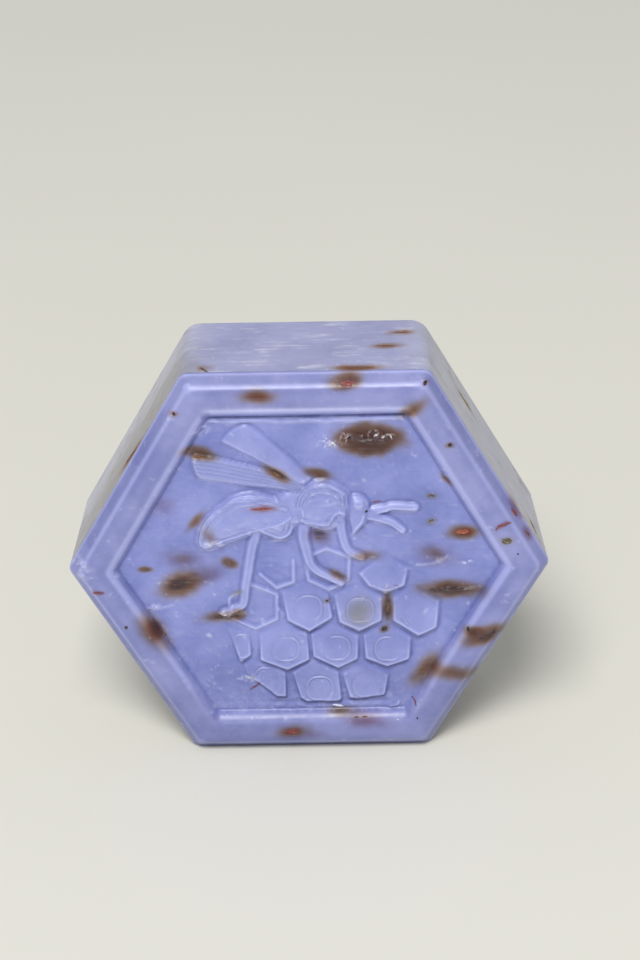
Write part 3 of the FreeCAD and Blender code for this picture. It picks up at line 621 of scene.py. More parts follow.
# Colour that the plant pieces have bled into the soap, node by node. A bleed: tint, strength, half
# length, half breadth, turn, firmness of its edge, and how far across and up its middle lies from
# the piece's, where it does.
BROWN, UMBER, DARK, OLIVE = (0.45, 0.15, 0.035), (0.80, 0.75, 0.80), (0.35, 0.28, 0.30), (0.66, 0.56, 0.26)
# Greyer, darker tint for a broad cloud over the upper left wall.
LEFT_WALL_GREYING = (0.72, 0.70, 0.63)
RED, ORANGE = (0.80, 0.28, 0.17), (1.00, 0.32, 0.06)
CLOUD, PLUM = (0.40, 0.26, 0.27), (0.55, 0.30, 0.30)
BLEEDS = [
    ("bud_top_right", [(BROWN, 1.25, 7.1, 3.6, 0, 0.35, 0, -0.1),
        (UMBER, 1, 6.3, 3.3, 2, 0.25, 0, -0.2)]),
    ("bud_right", [(BROWN, 0.95, 3.4, 1.8, 4, 0.1, 0.2, 0), (ORANGE, 0.9, 2.1, 0.9, 4, 0.3, 0.2, 0)]),
    ("bud_long_right", [(BROWN, 0.97, 6.6, 2.2, -2, 0.1, 0.6, 0),
        (DARK, 0.85, 4.6, 0.9, 0, 0.2, 0.4, 0)]),
    ("bud_left", [(BROWN, 0.97, 4.8, 2.9, 24, 0.1, 0, -0.1), (DARK, 1.4, 2.4, 1.5, 15, 0.2, -0.4, 0.1),
        (CLOUD, 0.7, 4.6, 2.2, 20, 0, 4, 1.6)]),
    ("bud_bee_foot", [(BROWN, 0.7, 4.2, 1.4, 6, 0, -0.4, 0), (DARK, 0.5, 2.2, 0.6, 6, 0.2, -0.4, 0),
        (BROWN, 0.7, 1.7, 1.5, 0, 0.1, 2.6, 0.5)]),
    ("bud_rim_lower_right", [(BROWN, 0.97, 5.2, 2.3, 20, 0.15, -0.2, 0.1),
        (DARK, 0.9, 2.8, 1, 24, 0.2, 0.8, 0.1)]),
    ("buried_bud_right", [(CLOUD, 0.85, 5, 3, -16, 0), (BROWN, 0.45, 3, 1.6, -20, 0, -0.4, 0.4)]),
    ("buried_bud_left", [(CLOUD, 0.8, 4.8, 2.5, -10, 0, -0.6, 0.3),
        (BROWN, 0.3, 2.6, 1.3, -10, 0, -0.6, 0.3)]),
    ("buried_bud_rim_lower_right", [(BROWN, 1.2, 5, 2, -4, 0, 0, 0.1)]),
    ("buried_petal_rim_top_left", [(BROWN, 0.8, 3.6, 1.5, 0, 0, 0.7, 0.2),
        (RED, 0.7, 2.4, 0.8, 0, 0, 0.7, 0.2)]),
    ("petal_wing_tip", [(BROWN, 0.9, 3.4, 1.6, -12, 0.1, -0.2, 0.7),
        (OLIVE, 0.5, 2.8, 0.8, -14, 0.1, 1, 0.1)]),
    ("petal_between_wings", [(BROWN, 0.9, 3.2, 1.3, -30, 0.1, 0, 0.1),
        (DARK, 0.95, 1.7, 0.8, -32, 0.2, 0.2, 0)]),
    ("petal_wing_root", [(BROWN, 0.85, 3, 1.3, -14, 0.1, 0.3, 0.3)]),
    ("petal_abdomen", [(RED, 0.5, 3.2, 0.9, 0, 0.1), (OLIVE, 0.35, 2.6, 1.8, -60, 0, -9, -4.6),
        (BROWN, 0.8, 2.6, 1, 52, 0, -11.1, -2.6), (PLUM, 0.5, 2, 1, -50, 0, -8.8, -5.2)]),
    ("petal_under_thorax", [(CLOUD, 0.85, 2.6, 2.2, -50, 0, 0.2, 0.7), (DARK, 0.55, 1.6, 1.2, 0, 0, 0, 1),
        (BROWN, 0.5, 2.4, 0.8, -30, 0, 3, -6.6)]),
    ("petal_panel_left", [(BROWN, 0.85, 4.6, 2.3, -55, 0, -1.8, 0.8),
        (PLUM, 0.9, 2.6, 1.5, -60, 0.1, -1.7, 1.1)]),
    ("petal_cell_gap", [(BROWN, 0.9, 3.8, 1.3, 90, 0), (DARK, 1, 3.2, 0.7, 90, 0.2),
        (OLIVE, 0.5, 4.2, 3.4, 80, 0, -4.8, -0.6), (BROWN, 0.4, 3.2, 1.2, 0, 0, -3.6, 9.8)]),
    ("petal_rim_bottom", [(BROWN, 0.6, 3.6, 1.7, 6, 0), (RED, 0.6, 2.8, 1.1, 6, 0.1),
        (PLUM, 0.35, 3.4, 1.3, 0, 0, 3, -0.7)]),
    ("petal_rim_top", [(BROWN, 0.9, 3.3, 1.5, 6, 0.1, -0.4, 0.3), (PLUM, 0.9, 2.4, 0.9, 6, 0.3, 0.2, 0)]),
    ("petal_rim_corner", [(BROWN, 0.75, 3.4, 1.5, 38, 0, 0, 0.2)]),
    ("petal_panel_right", [(BROWN, 0.55, 1.8, 0.7, -50, 0.1)]),
    ("petal_edge_right", [(PLUM, 0.75, 3.4, 1, -60, 0.1, 0.5, 0.5)]),
    ("petal_edge_corner", [(PLUM, 0.65, 2.2, 0.8, -60, 0.1)]),
    ("petal_rim_inner_right", [(BROWN, 0.75, 4.8, 2, 52, 0, 0.6, 0.6)]),
    ("petal_panel_bottom", [(PLUM, 0.75, 4.8, 1.8, -6, 0, 0.6, -0.5),
        (BROWN, 0.6, 3, 1, 0, 0, -3.4, 0.8)]),
    ("flake_right_upper", [(OLIVE, 0.5, 1.5, 0.9, -12, 0.1)]),
    ("flake_right_lower", [(OLIVE, 0.45, 1.4, 0.9, 30, 0.1)]),
    ("flake_rim_right", [(OLIVE, 0.4, 1.8, 1.4, 0, 0.1)]),
    ("flake_panel_left", [(BROWN, 0.75, 1.6, 0.7, 0, 0.1)]),
    ("flake_bee_leg", [(BROWN, 0.8, 1.9, 1.2, -35, 0.1), (OLIVE, 0.55, 1.8, 0.7, 30, 0.1, 1.2, -5.4),
        (PLUM, 0.25, 3, 2.4, 0, 0, -10.6, 10.8)]),
    ("fibre_rim_right", [(RED, 0.4, 1.8, 0.6, 30, 0.1)]),
    ("fibre_rim_left", [(RED, 0.4, 1.4, 0.6, -4, 0.1)]),
    ("seed_panel_lower_right", [(BROWN, 0.8, 1.2, 0.9, 30, 0.1)]),
    ("seed_rim_upper_right", [(BROWN, 0.7, 0.9, 0.7, 0, 0.1)]),
    ("seed_rim_lower_right", [(BROWN, 0.85, 1.9, 1.2, 0, 0.1, 0.6, -0.3)]),
    ("seed_rim_upper_left", [(ORANGE, 0.6, 1, 0.6, 0, 0.1)]),
    ("seed_rim_top_right", [(RED, 0.5, 0.9, 0.6, 0, 0.1)]),
    ("seed_cell", [(BROWN, 0.3, 0.8, 0.6, 0, 0.1)]),
    ("petal_wall_top_front", [(BROWN, 0.9, 5, 1.7, 0, 0.1)]),
    ("petal_wall_top_middle", [(BROWN, 0.8, 3.2, 1.5, 0, 0.1)]),
    ("petal_wall_top_back", [(BROWN, 0.8, 2.8, 1.6, 0, 0.1)]),
    ("petal_wall_upper_right_front", [(OLIVE, 0.9, 3, 1.3, 50, 0.1)]),
    ("petal_wall_upper_right_back", [(OLIVE, 0.85, 4.6, 1.5, 4, 0.1)]),
    ("petal_wall_upper_left", [(BROWN, 0.9, 5.2, 1.7, 20, 0.1)]),
    ("petal_wall_lower_right_middle", [(BROWN, 0.7, 4.2, 1.8, 16, 0.1)]),
    ("petal_wall_lower_right_back", [(OLIVE, 0.7, 6, 1.6, 76, 0.1)]),
    ("petal_wall_lower_left", [(OLIVE, 0.7, 4.6, 1.6, 86, 0.1)]),
    ("flake_wall_top", [(BROWN, 0.6, 2.4, 1, 62, 0.1)]),
    # Not bled from the piece: a broad greyer, darker cloud over the upper left wall, centred on the piece.
    ("petal_wall_upper_left", [(LEFT_WALL_GREYING, 1, 34, 18, 0, 0.3)]),
]


def surface_axes(name, place, turn):
    """Length, breadth and outward directions of a piece lying in the soap's surface.

    On the front the turn is from X towards Z; on a wall it is from the wall's own edge to the back.
    """
    c, s = math.cos(math.radians(turn)), math.sin(math.radians(turn))
    if "_wall_" not in name:
        return np.array([c, 0, s]), np.array([-s, 0, c]), np.array([0, -1.0, 0])
    angle = wall_angle(int(nearest_wall(place[:1], place[2:])[2][0]))
    up_wall = np.array([-math.sin(angle), 0, math.cos(angle)])
    out = np.array([math.cos(angle), 0, math.sin(angle)])
    return up_wall * c + [0, s, 0], up_wall * s - [0, c, 0], out


def bled_colour(points):
    """Share of each colour that the bleeds let through, and how strong they are, at each point.

    Each bleed is an ellipse whose edge wanders by a smooth random amount. Its density falls off as
    the exponential of a power of the distance from its middle, and the densities add up.
    """
    depth_reach = 4.5
    density = np.zeros((len(points), 3))
    rows = [(name, *bleed) for name, bleeds in BLEEDS for bleed in bleeds]
    for number, (name, colour, most, half, across, turn, firm, *shift) in enumerate(rows):
        place = casting_place(name)
        length, breadth, out = surface_axes(name, place, turn)
        shift_x, shift_z = shift or (0, 0)
        away = points - place - np.array([shift_x, 0, shift_z])
        u, v = away @ length, away @ breadth
        ragged = 0.06 * unevenness(u, v, 1.2, 200 + number) + 0.10 * unevenness(u, v, 2.6, 400 + number)
        far = np.sqrt((u / half) ** 2 + (v / across) ** 2 + ((away @ out) / depth_reach) ** 2) + ragged
        share = most * np.exp(-(np.maximum(far, 0) / (0.62 + 0.35 * firm)) ** (2.2 + 6 * firm))
        if "_wall_" in name:
            share = share * eased((points[:, 1] + 0.2) / 0.8)
        density -= 1.15 * share[:, None] * np.log(colour)
    return np.exp(-density), 1 - np.exp(-density[:, 1])


# Whitish film. A row: middle across and up, half width, half height, strength.
FILM_PATCHES = [
    (-38, 35.2, 2, 2.4, 0.3), (3.6, 56.8, 2.4, 0.8, 0.75), (6.4, 57.8, 1.1, 0.9, 0.8),
    (10.8, 58.4, 1, 0.9, 0.8), (13.4, 58, 1.5, 0.5, 0.8), (-15.6, 39.2, 2.4, 1, 0.55),
    (-10.4, 13.4, 2.2, 0.8, 0.5), (-14, 25.9, 1.6, 0.6, 0.6), (-17, 59.6, 1.6, 1, 0.35),
    (26.3, 34.9, 1, 0.4, 0.6), (-17.2, 54.4, 2.2, 0.4, 0.5), (-16.6, 21.8, 1, 0.5, 0.5),
    (21.5, 35.6, 2.4, 0.5, 0.15), (-25.6, 27.6, 2.2, 0.4, 0.4), (24.5, 29.9, 3, 0.3, 0.5),
]
LACE_FROM, LACE_TO = 56, 59       # heights up the front between which the film is lacy


def bloom(points):
    """Strength of the film: dried lather and arrises, lacy over the largest bud, dusty low down."""
    x, y, z = points.T
    inset = nearest_wall(x, z)[0]
    patchy = eased(0.3 + 0.9 * unevenness(x, z, 0.9, 21) + 1.1 * unevenness(x, z, 0.35, 22))
    lace = np.maximum(eased(1.3 - np.abs(unevenness(x, z, 0.9, 31)) / 0.14),
                      eased(1.3 - np.abs(unevenness(x, z, 0.55, 32)) / 0.12) * 0.7)
    white = np.zeros(len(points))
    for mid_x, mid_z, half_x, half_z, most in FILM_PATCHES:
        far = np.hypot((x - mid_x) / half_x, (z - mid_z) / half_z)
        veiled = lace if LACE_FROM < mid_z < LACE_TO else patchy
        white = np.maximum(white, most * eased((1.2 - far) / 0.8) * veiled)
    low_down = np.exp(-((z - 6.0 - 5.0 * unevenness(x, z, 9, 23)) / 9) ** 2)
    return np.maximum(white, 0.08 * patchy * low_down * (inset > 7)) * (y < 0.5)


def add(tree, kind, inputs=None, **settings):
    """New shader node; an input given as a socket is linked, and any other is set."""
    made = tree.nodes.new(kind)
    for key, value in settings.items():
        setattr(made, key, value)
    for key, value in (inputs or {}).items():
        if isinstance(value, bpy.types.NodeSocket):
            tree.links.new(value, made.inputs[key])
        else:
            made.inputs[key].default_value = value
    return made


def mixed(tree, factor, first, second, mode="MIX"):
    """Colour between two others."""
    made = tree.nodes.new("ShaderNodeMix")
    made.data_type, made.blend_type, made.clamp_factor = "RGBA", mode, True
    for slot, value in ((0, factor), (6, first), (7, second)):
        if isinstance(value, bpy.types.NodeSocket):
            tree.links.new(value, made.inputs[slot])
        else:
            made.inputs[slot].default_value = value if slot == 0 else (*value, 1)
    return made.outputs[2]


def graded(tree, factor, low, high, to_low=0.0, to_high=1.0):
    """Value eased from one number to another as the factor goes from low to high."""
    inputs = {"Value": factor, "From Min": low, "From Max": high, "To Min": to_low, "To Max": to_high}
    return add(tree, "ShaderNodeMapRange", inputs, interpolation_type="SMOOTHSTEP").outputs[0]


def times(tree, first, second, operation="MULTIPLY"):
    """Product of two values, or another join of them."""
    return add(tree, "ShaderNodeMath", {0: first, 1: second}, operation=operation).outputs[0]


def noise(tree, place, scale, detail=2.0, roughness=0.5, stretch=(1, 1, 1)):
    """Noise value on coordinates stretched by three factors."""
    placed = add(tree, "ShaderNodeMapping", {"Vector": place, "Scale": stretch}).outputs[0]
    return add(tree, "ShaderNodeTexNoise", {"Vector": placed, "Scale": scale, "Detail": detail,
                                            "Roughness": roughness}).outputs["Fac"]


def stored(tree, name, output="Fac"):
    """Value or colour painted on the mesh."""
    return add(tree, "ShaderNodeAttribute", attribute_name=name).outputs[output]


def new_material(name):
    """Material that uses nodes, its tree, and its surface shader."""
    material = bpy.data.materials.new(name)
    material.use_nodes = True
    return material, material.node_tree, material.node_tree.nodes["Principled BSDF"]


LILAC_DEEP, LILAC_PALE = (0.136, 0.157, 0.374), (0.218, 0.239, 0.480)
RIM_TINT, PANEL_TINT = (1.00, 0.98, 0.96), (0.97, 1.00, 1.06)
WALL_PALE = (0.500, 0.500, 0.520)
OLIVE_DASH = (0.190, 0.165, 0.120)
FROST = (0.780, 0.780, 0.860)
# Painted light: a paler colour mixed on raised parts, fine ridge lines and convex edges as painted
# highlight, and a darker colour multiplied into creases as painted shade.
PAINTED_HIGHLIGHT = (0.400, 0.430, 0.740)
PAINTED_CREASE_SHADE = (0.420, 0.420, 0.620)


def soap_material():
    """Lilac-blue soap: cloudy body colour, the plants' bleeds, white film and specks, mould striations,
    painted highlights on raised parts, ridge lines and edges, and painted shade in creases.
    """
    material, tree, soap = new_material("lilac_soap")
    place = add(tree, "ShaderNodeTexCoord").outputs["Object"]
    bleed = stored(tree, "bleed_tint", "Color")
    strength, film, wall, panel, raised, fold, phase, shown = [stored(tree, name) for name in (
        "bleed", "film", "wall", "panel", "raised", "fold", "line_phase", "line_share")]

    any_wall = graded(tree, wall, 0.0, 0.2)
    streak = noise(tree, place, 1, 3, 0.65, (170, 1100, 170))
    patches = graded(tree, noise(tree, place, 190, 3, 0.6), 0.40, 0.62)
    scraped = times(tree, times(tree, any_wall, patches), graded(tree, streak, 0.50, 0.68))
    dashes = graded(tree, noise(tree, place, 1, 2, 0.6, (260, 1500, 260)), 0.57, 0.67)
    patchy = graded(tree, noise(tree, place, 90, 2, 0.5), 0.45, 0.60)
    dashed = times(tree, times(tree, times(tree, wall, wall), dashes), patchy)
    line = times(tree, graded(tree, times(tree, phase, 0.5, "PINGPONG"), 0.24, 0.04), shown)
    grain = noise(tree, place, 700, 2, 0.6)
    wandering = graded(tree, noise(tree, place, 900, 3, 0.7), 0.25, 0.75, 0.97, 1.0)
    cells = add(tree, "ShaderNodeTexVoronoi", {"Vector": place, "Scale": 300.0, "Randomness": 1.0})
    rare = graded(tree, noise(tree, place, 90, 1), 0.54, 0.64)
    speck = times(tree, graded(tree, cells.outputs["Distance"], 0.075, 0.045), rare)

    cloudy = graded(tree, noise(tree, place, 85, 4, 0.65), 0.3, 0.7)
    body = mixed(tree, cloudy, LILAC_DEEP, LILAC_PALE)
    for factor, colour, mode in (
            (1.0, mixed(tree, panel, RIM_TINT, PANEL_TINT), "MULTIPLY"),
            (times(tree, wall, 0.75), WALL_PALE, "MIX"),
            (times(tree, any_wall, 0.08), FROST, "MIX"),
            (times(tree, scraped, 0.34), FROST, "MIX"),
            (dashed, OLIVE_DASH, "MIX"),
            # Painted highlight on the raised relief, on places that stand above their surroundings and on
            # the fine ridge lines; painted shade in creases.
            (times(tree, raised, 0.20), PAINTED_HIGHLIGHT, "MIX"),
            (graded(tree, fold, 0.1, 1.0, 0, 0.5), PAINTED_HIGHLIGHT, "MIX"),
            (graded(tree, fold, -0.15, -1.0, 0, 0.42), PAINTED_CREASE_SHADE, "MULTIPLY"),
            (times(tree, line, 0.35), PAINTED_HIGHLIGHT, "MIX"),
            (graded(tree, grain, 0.62, 0.8, 0, 0.18), FROST, "MIX"),
            (wandering, bleed, "MULTIPLY"),
            (times(tree, speck, 0.4), FROST, "MIX"),
            (times(tree, film, graded(tree, grain, 0.3, 0.6, 0.45, 1.0)), FROST, "MIX")):
        body = mixed(tree, factor, body, colour, mode)
    tree.links.new(body, soap.inputs["Base Color"])

    rough = graded(tree, noise(tree, place, 260, 3, 0.6), 0.3, 0.7, 0.30, 0.42)
    for mask, more in ((wall, 0.12), (film, 0.25)):
        rough = times(tree, rough, times(tree, mask, more), "ADD")
    tree.links.new(rough, soap.inputs["Roughness"])

    stria = noise(tree, place, 1, 2, 0.55, (22, 22, 1900))
    height = times(tree, times(tree, stria, panel), 0.060)
    for mask, rise in ((noise(tree, place, 420, 3, 0.6), 0.055), (times(tree, streak, wall), 0.06),
                       (speck, 0.10), (times(tree, strength, grain), 0.06), (line, 0.16)):
        height = times(tree, height, times(tree, mask, rise), "ADD")
    bump = add(tree, "ShaderNodeBump", {"Height": height, "Strength": 1.0, "Distance": 0.001})
    tree.links.new(bump.outputs[0], soap.inputs["Normal"])

    for key, value in (("Subsurface Weight", 0.30), ("Subsurface Radius", (0.8, 0.85, 1.2)),
                       ("Subsurface Scale", 0.0004), ("IOR", 1.47), ("Specular IOR Level", 0.5)):
        soap.inputs[key].default_value = value
    return material


points, faces, fold = soap_mesh()
casting = new_piece("soap_casting", points, faces, soap_material())
tint, strength = bled_colour(points)
across, depth, up = points.T
inset = nearest_wall(across, up)[0]
on_front = depth < -1e-6
raised, phase, shown = np.zeros((3, len(points)))
# How raised the relief is; the material paints it paler as a painted highlight.
raised[on_front] = eased(relief(across[on_front], up[on_front]) / 0.6)
phase[on_front], shown[on_front] = fine_lines(across[on_front], up[on_front])
upward = eased(((up - APOTHEM) / (np.hypot(across, up - APOTHEM) + 1e-6) - 0.80) / 0.13)
inwards = eased((inset - 1.5) / 3)
paler = 1 - 0.8 * upward * (1 - inwards) - 0.45 * inwards
for name, values in (
        ("bleed_tint", np.hstack([tint, np.ones((len(tint), 1))])), ("bleed", strength),
        ("film", bloom(points)), ("raised", raised * eased((inset - 6.6) / 0.9)),
        # The painted light and shade, limited to -1 to 1: painted highlight above nought, painted shade
        # below.
        ("fold", np.clip(fold / 0.12, -1, 1)), ("line_phase", phase), ("line_share", shown),
        ("wall", eased((depth - 0.1) / 1.2) * paler), ("panel", eased((inset - 6.0) / 1.5) * (depth < 0))):
    paint(casting, name, values)
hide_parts("soap_body")


# ------------------------ dried plant pieces, shared shape
# Every plant piece is set in the surface of the soap, so it is drawn on it: a place across the piece
# is taken to the soap's own surface, and the piece stands a fraction of a millimetre proud of that.
SLOTS = {part["node"]: part["material_slot"] for part in frame["record"]["subparts"]}
FRONT_MARGIN, WALL_MARGIN = 0.12, 0.2       # how near the front edge a piece may come


def laid_on(name, turn, u, v, lift):
    """Casting-frame points for places along and across a piece, lifted above the soap's surface.

    On the front the height is the front's rise there; on a wall it is the drafted plane. A place
    past the front's edge is drawn back to it.
    """
    place = casting_place(name)
    length, breadth, out = surface_axes(name, place, turn)
    flat = place + u[..., None] * length + v[..., None] * breadth
    if "_wall_" in name:
        angle = math.atan2(out[2], out[0])
        reach = flat[..., 0] * out[0] + (flat[..., 2] - APOTHEM) * out[2]
        wanted = APOTHEM - np.maximum(flat[..., 1], WALL_MARGIN) * TAPER + lift
        flat = flat + (wanted - reach)[..., None] * out
        flat[..., 1] = np.maximum(flat[..., 1], WALL_MARGIN)
        return flat
    x, z = flat[..., 0], flat[..., 2]
    inset, _, wall = nearest_wall(x, z)
    back = np.maximum(FRONT_MARGIN - inset, 0)
    angle = wall_angle(wall)
    x, z = x - back * np.cos(angle), z - back * np.sin(angle)
    return np.stack([x, -front_rise(x, z) - lift, z], axis=-1)


def ringed(rings, around):
    """Faces of a closed surface: rings of vertices, then the two that close the first and last."""
    ring = np.arange(rings * around).reshape(rings, around)
    after = np.roll(ring, -1, axis=1)
    sides = np.stack([ring[:-1], ring[1:], after[1:], after[:-1]], -1).reshape(-1, 4)
    first_end, last_end = np.full(around, rings * around), np.full(around, rings * around + 1)
    caps = np.vstack([np.stack([first_end, ring[0], after[0]], -1),
                      np.stack([ring[-1], last_end, after[-1]], -1)])
    return sides.tolist() + caps.tolist()


def plant_piece(name, rings, turn, u, v, lift, material):
    """Closed piece from its places along and across, ring by ring and then its two ends.

    Every vertex keeps its place along and across the piece, for the skin's streaks.
    """
    faces = ringed(rings, (len(u) - 2) // rings)
    made = "soap_crumb" if name == "flake_white" else "dried_" + name
    piece = new_piece(made, laid_on(name, turn, u, v, lift), faces, material)
    paint(piece, "lengthwise", u)
    paint(piece, "crosswise", v)
    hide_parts(name)


SEED_STEP = 7                     # from piece to piece, since each uses a few seeds in a row


def scrap(name, length, breadth, turn, proud, ragged, wrinkle, material, seed, pinch=0.35):
    """Closed, thin, ragged piece: rings from its middle to a frayed edge, and back underneath.

    The edge is an ellipse pinched towards its ends and frayed by smooth noise. The upper side is
    proudest at the middle and dips into the soap at the edge, with wrinkles along its length.
    """
    around, underside = 40, -0.32
    turns = np.linspace(0, 2 * math.pi, around, endpoint=False)
    radii = np.array([0.16, 0.32, 0.48, 0.62, 0.75, 0.86, 0.95, 1.0, 0.7, 0.35])
    under = np.array([0, 0, 0, 0, 0, 0, 0, 0, 1, 1])
    frayed = 1 + ragged * (unevenness(np.cos(turns) * 3, np.sin(turns) * 3, 1.0, seed)
                           + 0.6 * unevenness(np.cos(turns) * 3, np.sin(turns) * 3, 0.35, seed + 1))
    r, t = np.meshgrid(radii, turns, indexing="ij")
    u = length / 2 * r * frayed * np.cos(t)
    v = breadth / 2 * r * frayed * np.sin(t) * (1 - pinch * np.cos(t) ** 2)
    u, v, r = (np.append(values.ravel(), [0, 0]) for values in (u, v, r))
    low = np.append(np.repeat(under, around), [0, 1])
    folds = unevenness(u * 0.8, v * 3.0, 0.5, seed + 2) + 0.7 * unevenness(u, v, 0.28, seed + 3)
    top = proud * (1 - r ** 4) - 0.09 * r ** 4 + wrinkle * folds * (1 - r ** 6)
    plant_piece(name, len(radii), turn, u, v, np.where(low > 0, underside, top), material)


def dry_skin():
    """Node group: colour and height of a dried plant surface, streaked along its length."""
    group = bpy.data.node_groups.new("dry_skin", "ShaderNodeTree")
    for name, kind, side in (("Shadow", "Color", "INPUT"), ("Body", "Color", "INPUT"),
                             ("Fleck", "Color", "INPUT"), ("Streaks", "Float", "INPUT"),
                             ("Colour", "Color", "OUTPUT"), ("Height", "Float", "OUTPUT")):
        group.interface.new_socket(name, in_out=side, socket_type="NodeSocket" + kind)
    given, made = group.nodes.new("NodeGroupInput"), group.nodes.new("NodeGroupOutput")
    across = times(group, stored(group, "crosswise"), given.outputs["Streaks"])
    place = add(group, "ShaderNodeCombineXYZ", {0: stored(group, "lengthwise"), 1: across}).outputs[0]
    veins = add(group, "ShaderNodeTexNoise", {"Vector": place, "Scale": 1.4, "Detail": 4.0,
                                              "Roughness": 0.65}).outputs["Fac"]
    blot = add(group, "ShaderNodeTexNoise", {"Vector": place, "Scale": 0.8,
                                             "Detail": 2.0}).outputs["Fac"]
    colour = mixed(group, graded(group, veins, 0.35, 0.62), given.outputs["Shadow"], given.outputs["Body"])
    colour = mixed(group, graded(group, blot, 0.58, 0.75, 0, 0.8), colour, given.outputs["Fleck"])
    group.links.new(colour, made.inputs["Colour"])
    group.links.new(veins, made.inputs["Height"])
    return group


DRY_SKIN = dry_skin()


def dried(name, shadow, body, fleck, streaks, roughness, lustre):
    """Material of one kind of dried plant, with its own tints on the shared skin."""
    material, tree, shader = new_material(name)
    skin = add(tree, "ShaderNodeGroup", node_tree=DRY_SKIN)
    for key, colour in (("Shadow", shadow), ("Body", body), ("Fleck", fleck)):
        skin.inputs[key].default_value = (*colour, 1)
    skin.inputs["Streaks"].default_value = streaks
    tree.links.new(skin.outputs["Colour"], shader.inputs["Base Color"])
    rough = graded(tree, skin.outputs["Height"], 0.3, 0.7, roughness + 0.1, roughness - 0.1)
    tree.links.new(rough, shader.inputs["Roughness"])
    bump = add(tree, "ShaderNodeBump", {"Height": skin.outputs["Height"], "Strength": 0.8,
                                        "Distance": 0.00012})
    tree.links.new(bump.outputs[0], shader.inputs["Normal"])
    shader.inputs["Specular IOR Level"].default_value = lustre
    return material


# ------------------------ dried buds
# Small flower buds, shrivelled and nearly black, sunk in the soap as it set. A row: node, length,
# breadth, turn, how proud it stands. The buried ones lie under the surface and show as clouds.
ORANGE_BUD = dried("orange_bud", (0.09, 0.022, 0.014), (0.33, 0.075, 0.032), (0.42, 0.18, 0.11),
                   2.5, 0.5, 0.4)
BUD_SKIN = dried("dried_bud", (0.018, 0.008, 0.01), (0.06, 0.024, 0.026), (0.15, 0.075, 0.07),
                 2.5, 0.5, 0.4)
BUDS = [
    ("bud_top_right", 8.4, 2, -3, 0.04), ("bud_right", 3.4, 1, 4, 0.05),
    ("bud_long_right", 8.8, 0.8, 0, 0.05), ("bud_left", 3.4, 1.9, 12, 0.03),
    ("bud_bee_foot", 4.6, 0.8, 6, 0.05), ("bud_rim_lower_right", 4, 1.2, 18, 0.06),
    ("buried_bud_right", 5, 2, -20, -1.3), ("buried_bud_left", 4.4, 1.8, -5, -1.3),
    ("buried_bud_rim_lower_right", 3.4, 1.6, -6, -1.3),
]
for number, (name, length, breadth, turn, proud) in enumerate(BUDS):
    skin = ORANGE_BUD if name == "bud_right" else BUD_SKIN
    scrap(name, length, breadth, turn, proud, 0.20, 0.10, skin, 500 + SEED_STEP * number)


# ------------------------ dried petals
# Thin flower petals that lie in the surface, some gone brown and some still red. A row: node, length,
# breadth, turn, how proud.
BROWN_PETAL = dried("brown_petal", (0.06, 0.026, 0.016), (0.17, 0.08, 0.042), (0.3, 0.18, 0.11),
                    3.0, 0.6, 0.3)
RED_PETAL = dried("red_petal", (0.09, 0.018, 0.02), (0.24, 0.062, 0.06), (0.4, 0.19, 0.18),
                  3.0, 0.55, 0.3)
PETALS = [
    ("petal_wing_tip", 2.6, 0.6, -8, 0.02), ("petal_between_wings", 2, 0.7, -32, 0.05),
    ("petal_wing_root", 1.4, 0.4, -25, 0.02), ("petal_abdomen", 4.8, 0.62, 0, 0.06),
    ("petal_antenna", 2.6, 0.35, 4, 0.05), ("petal_under_thorax", 1.6, 0.9, -55, 0),
    ("petal_panel_left", 1.8, 0.7, -60, 0.02), ("petal_cell_gap", 2.6, 0.5, 90, 0.04),
    ("petal_cell_top", 1.2, 0.3, 0, 0.04), ("petal_rim_bottom", 4, 1.2, 8, 0.02),
    ("petal_rim_top", 3.6, 1.1, 6, 0.03), ("petal_rim_corner", 1.8, 0.5, 40, 0.02),
    ("petal_panel_right", 1.8, 0.3, -50, 0.04), ("petal_edge_right", 3, 0.6, -60, 0.03),
    ("petal_edge_corner", 1.8, 0.5, -60, 0.03), ("petal_rim_inner_right", 2.4, 0.5, 50, 0.01),
    ("petal_panel_bottom", 3.4, 0.6, 0, 0), ("buried_petal_rim_top_left", 3.8, 1.4, 0, -1.2),
    ("petal_wall_top_front", 7.4, 0.8, 0, 0.05), ("petal_wall_top_middle", 4, 0.6, 2, 0.05),
    ("petal_wall_top_back", 3.2, 0.7, 0, 0.05), ("petal_wall_upper_right_front", 3.4, 0.7, 50, 0.05),
    ("petal_wall_upper_right_back", 5.2, 0.6, 4, 0.05), ("petal_wall_upper_left", 6.4, 0.8, 28, 0.05),
    ("petal_wall_lower_right_middle", 5.6, 0.9, 16, 0.05),
    ("petal_wall_lower_right_back", 9.2, 0.7, 76, 0.05), ("petal_wall_lower_left", 6.2, 0.7, 86, 0.05),
]
for number, (name, length, breadth, turn, proud) in enumerate(PETALS):
    skin = RED_PETAL if SLOTS[name] == "dried_petal_red" else BROWN_PETAL
    scrap(name, length, breadth, turn, proud, 0.22, 0.035, skin, 700 + SEED_STEP * number)


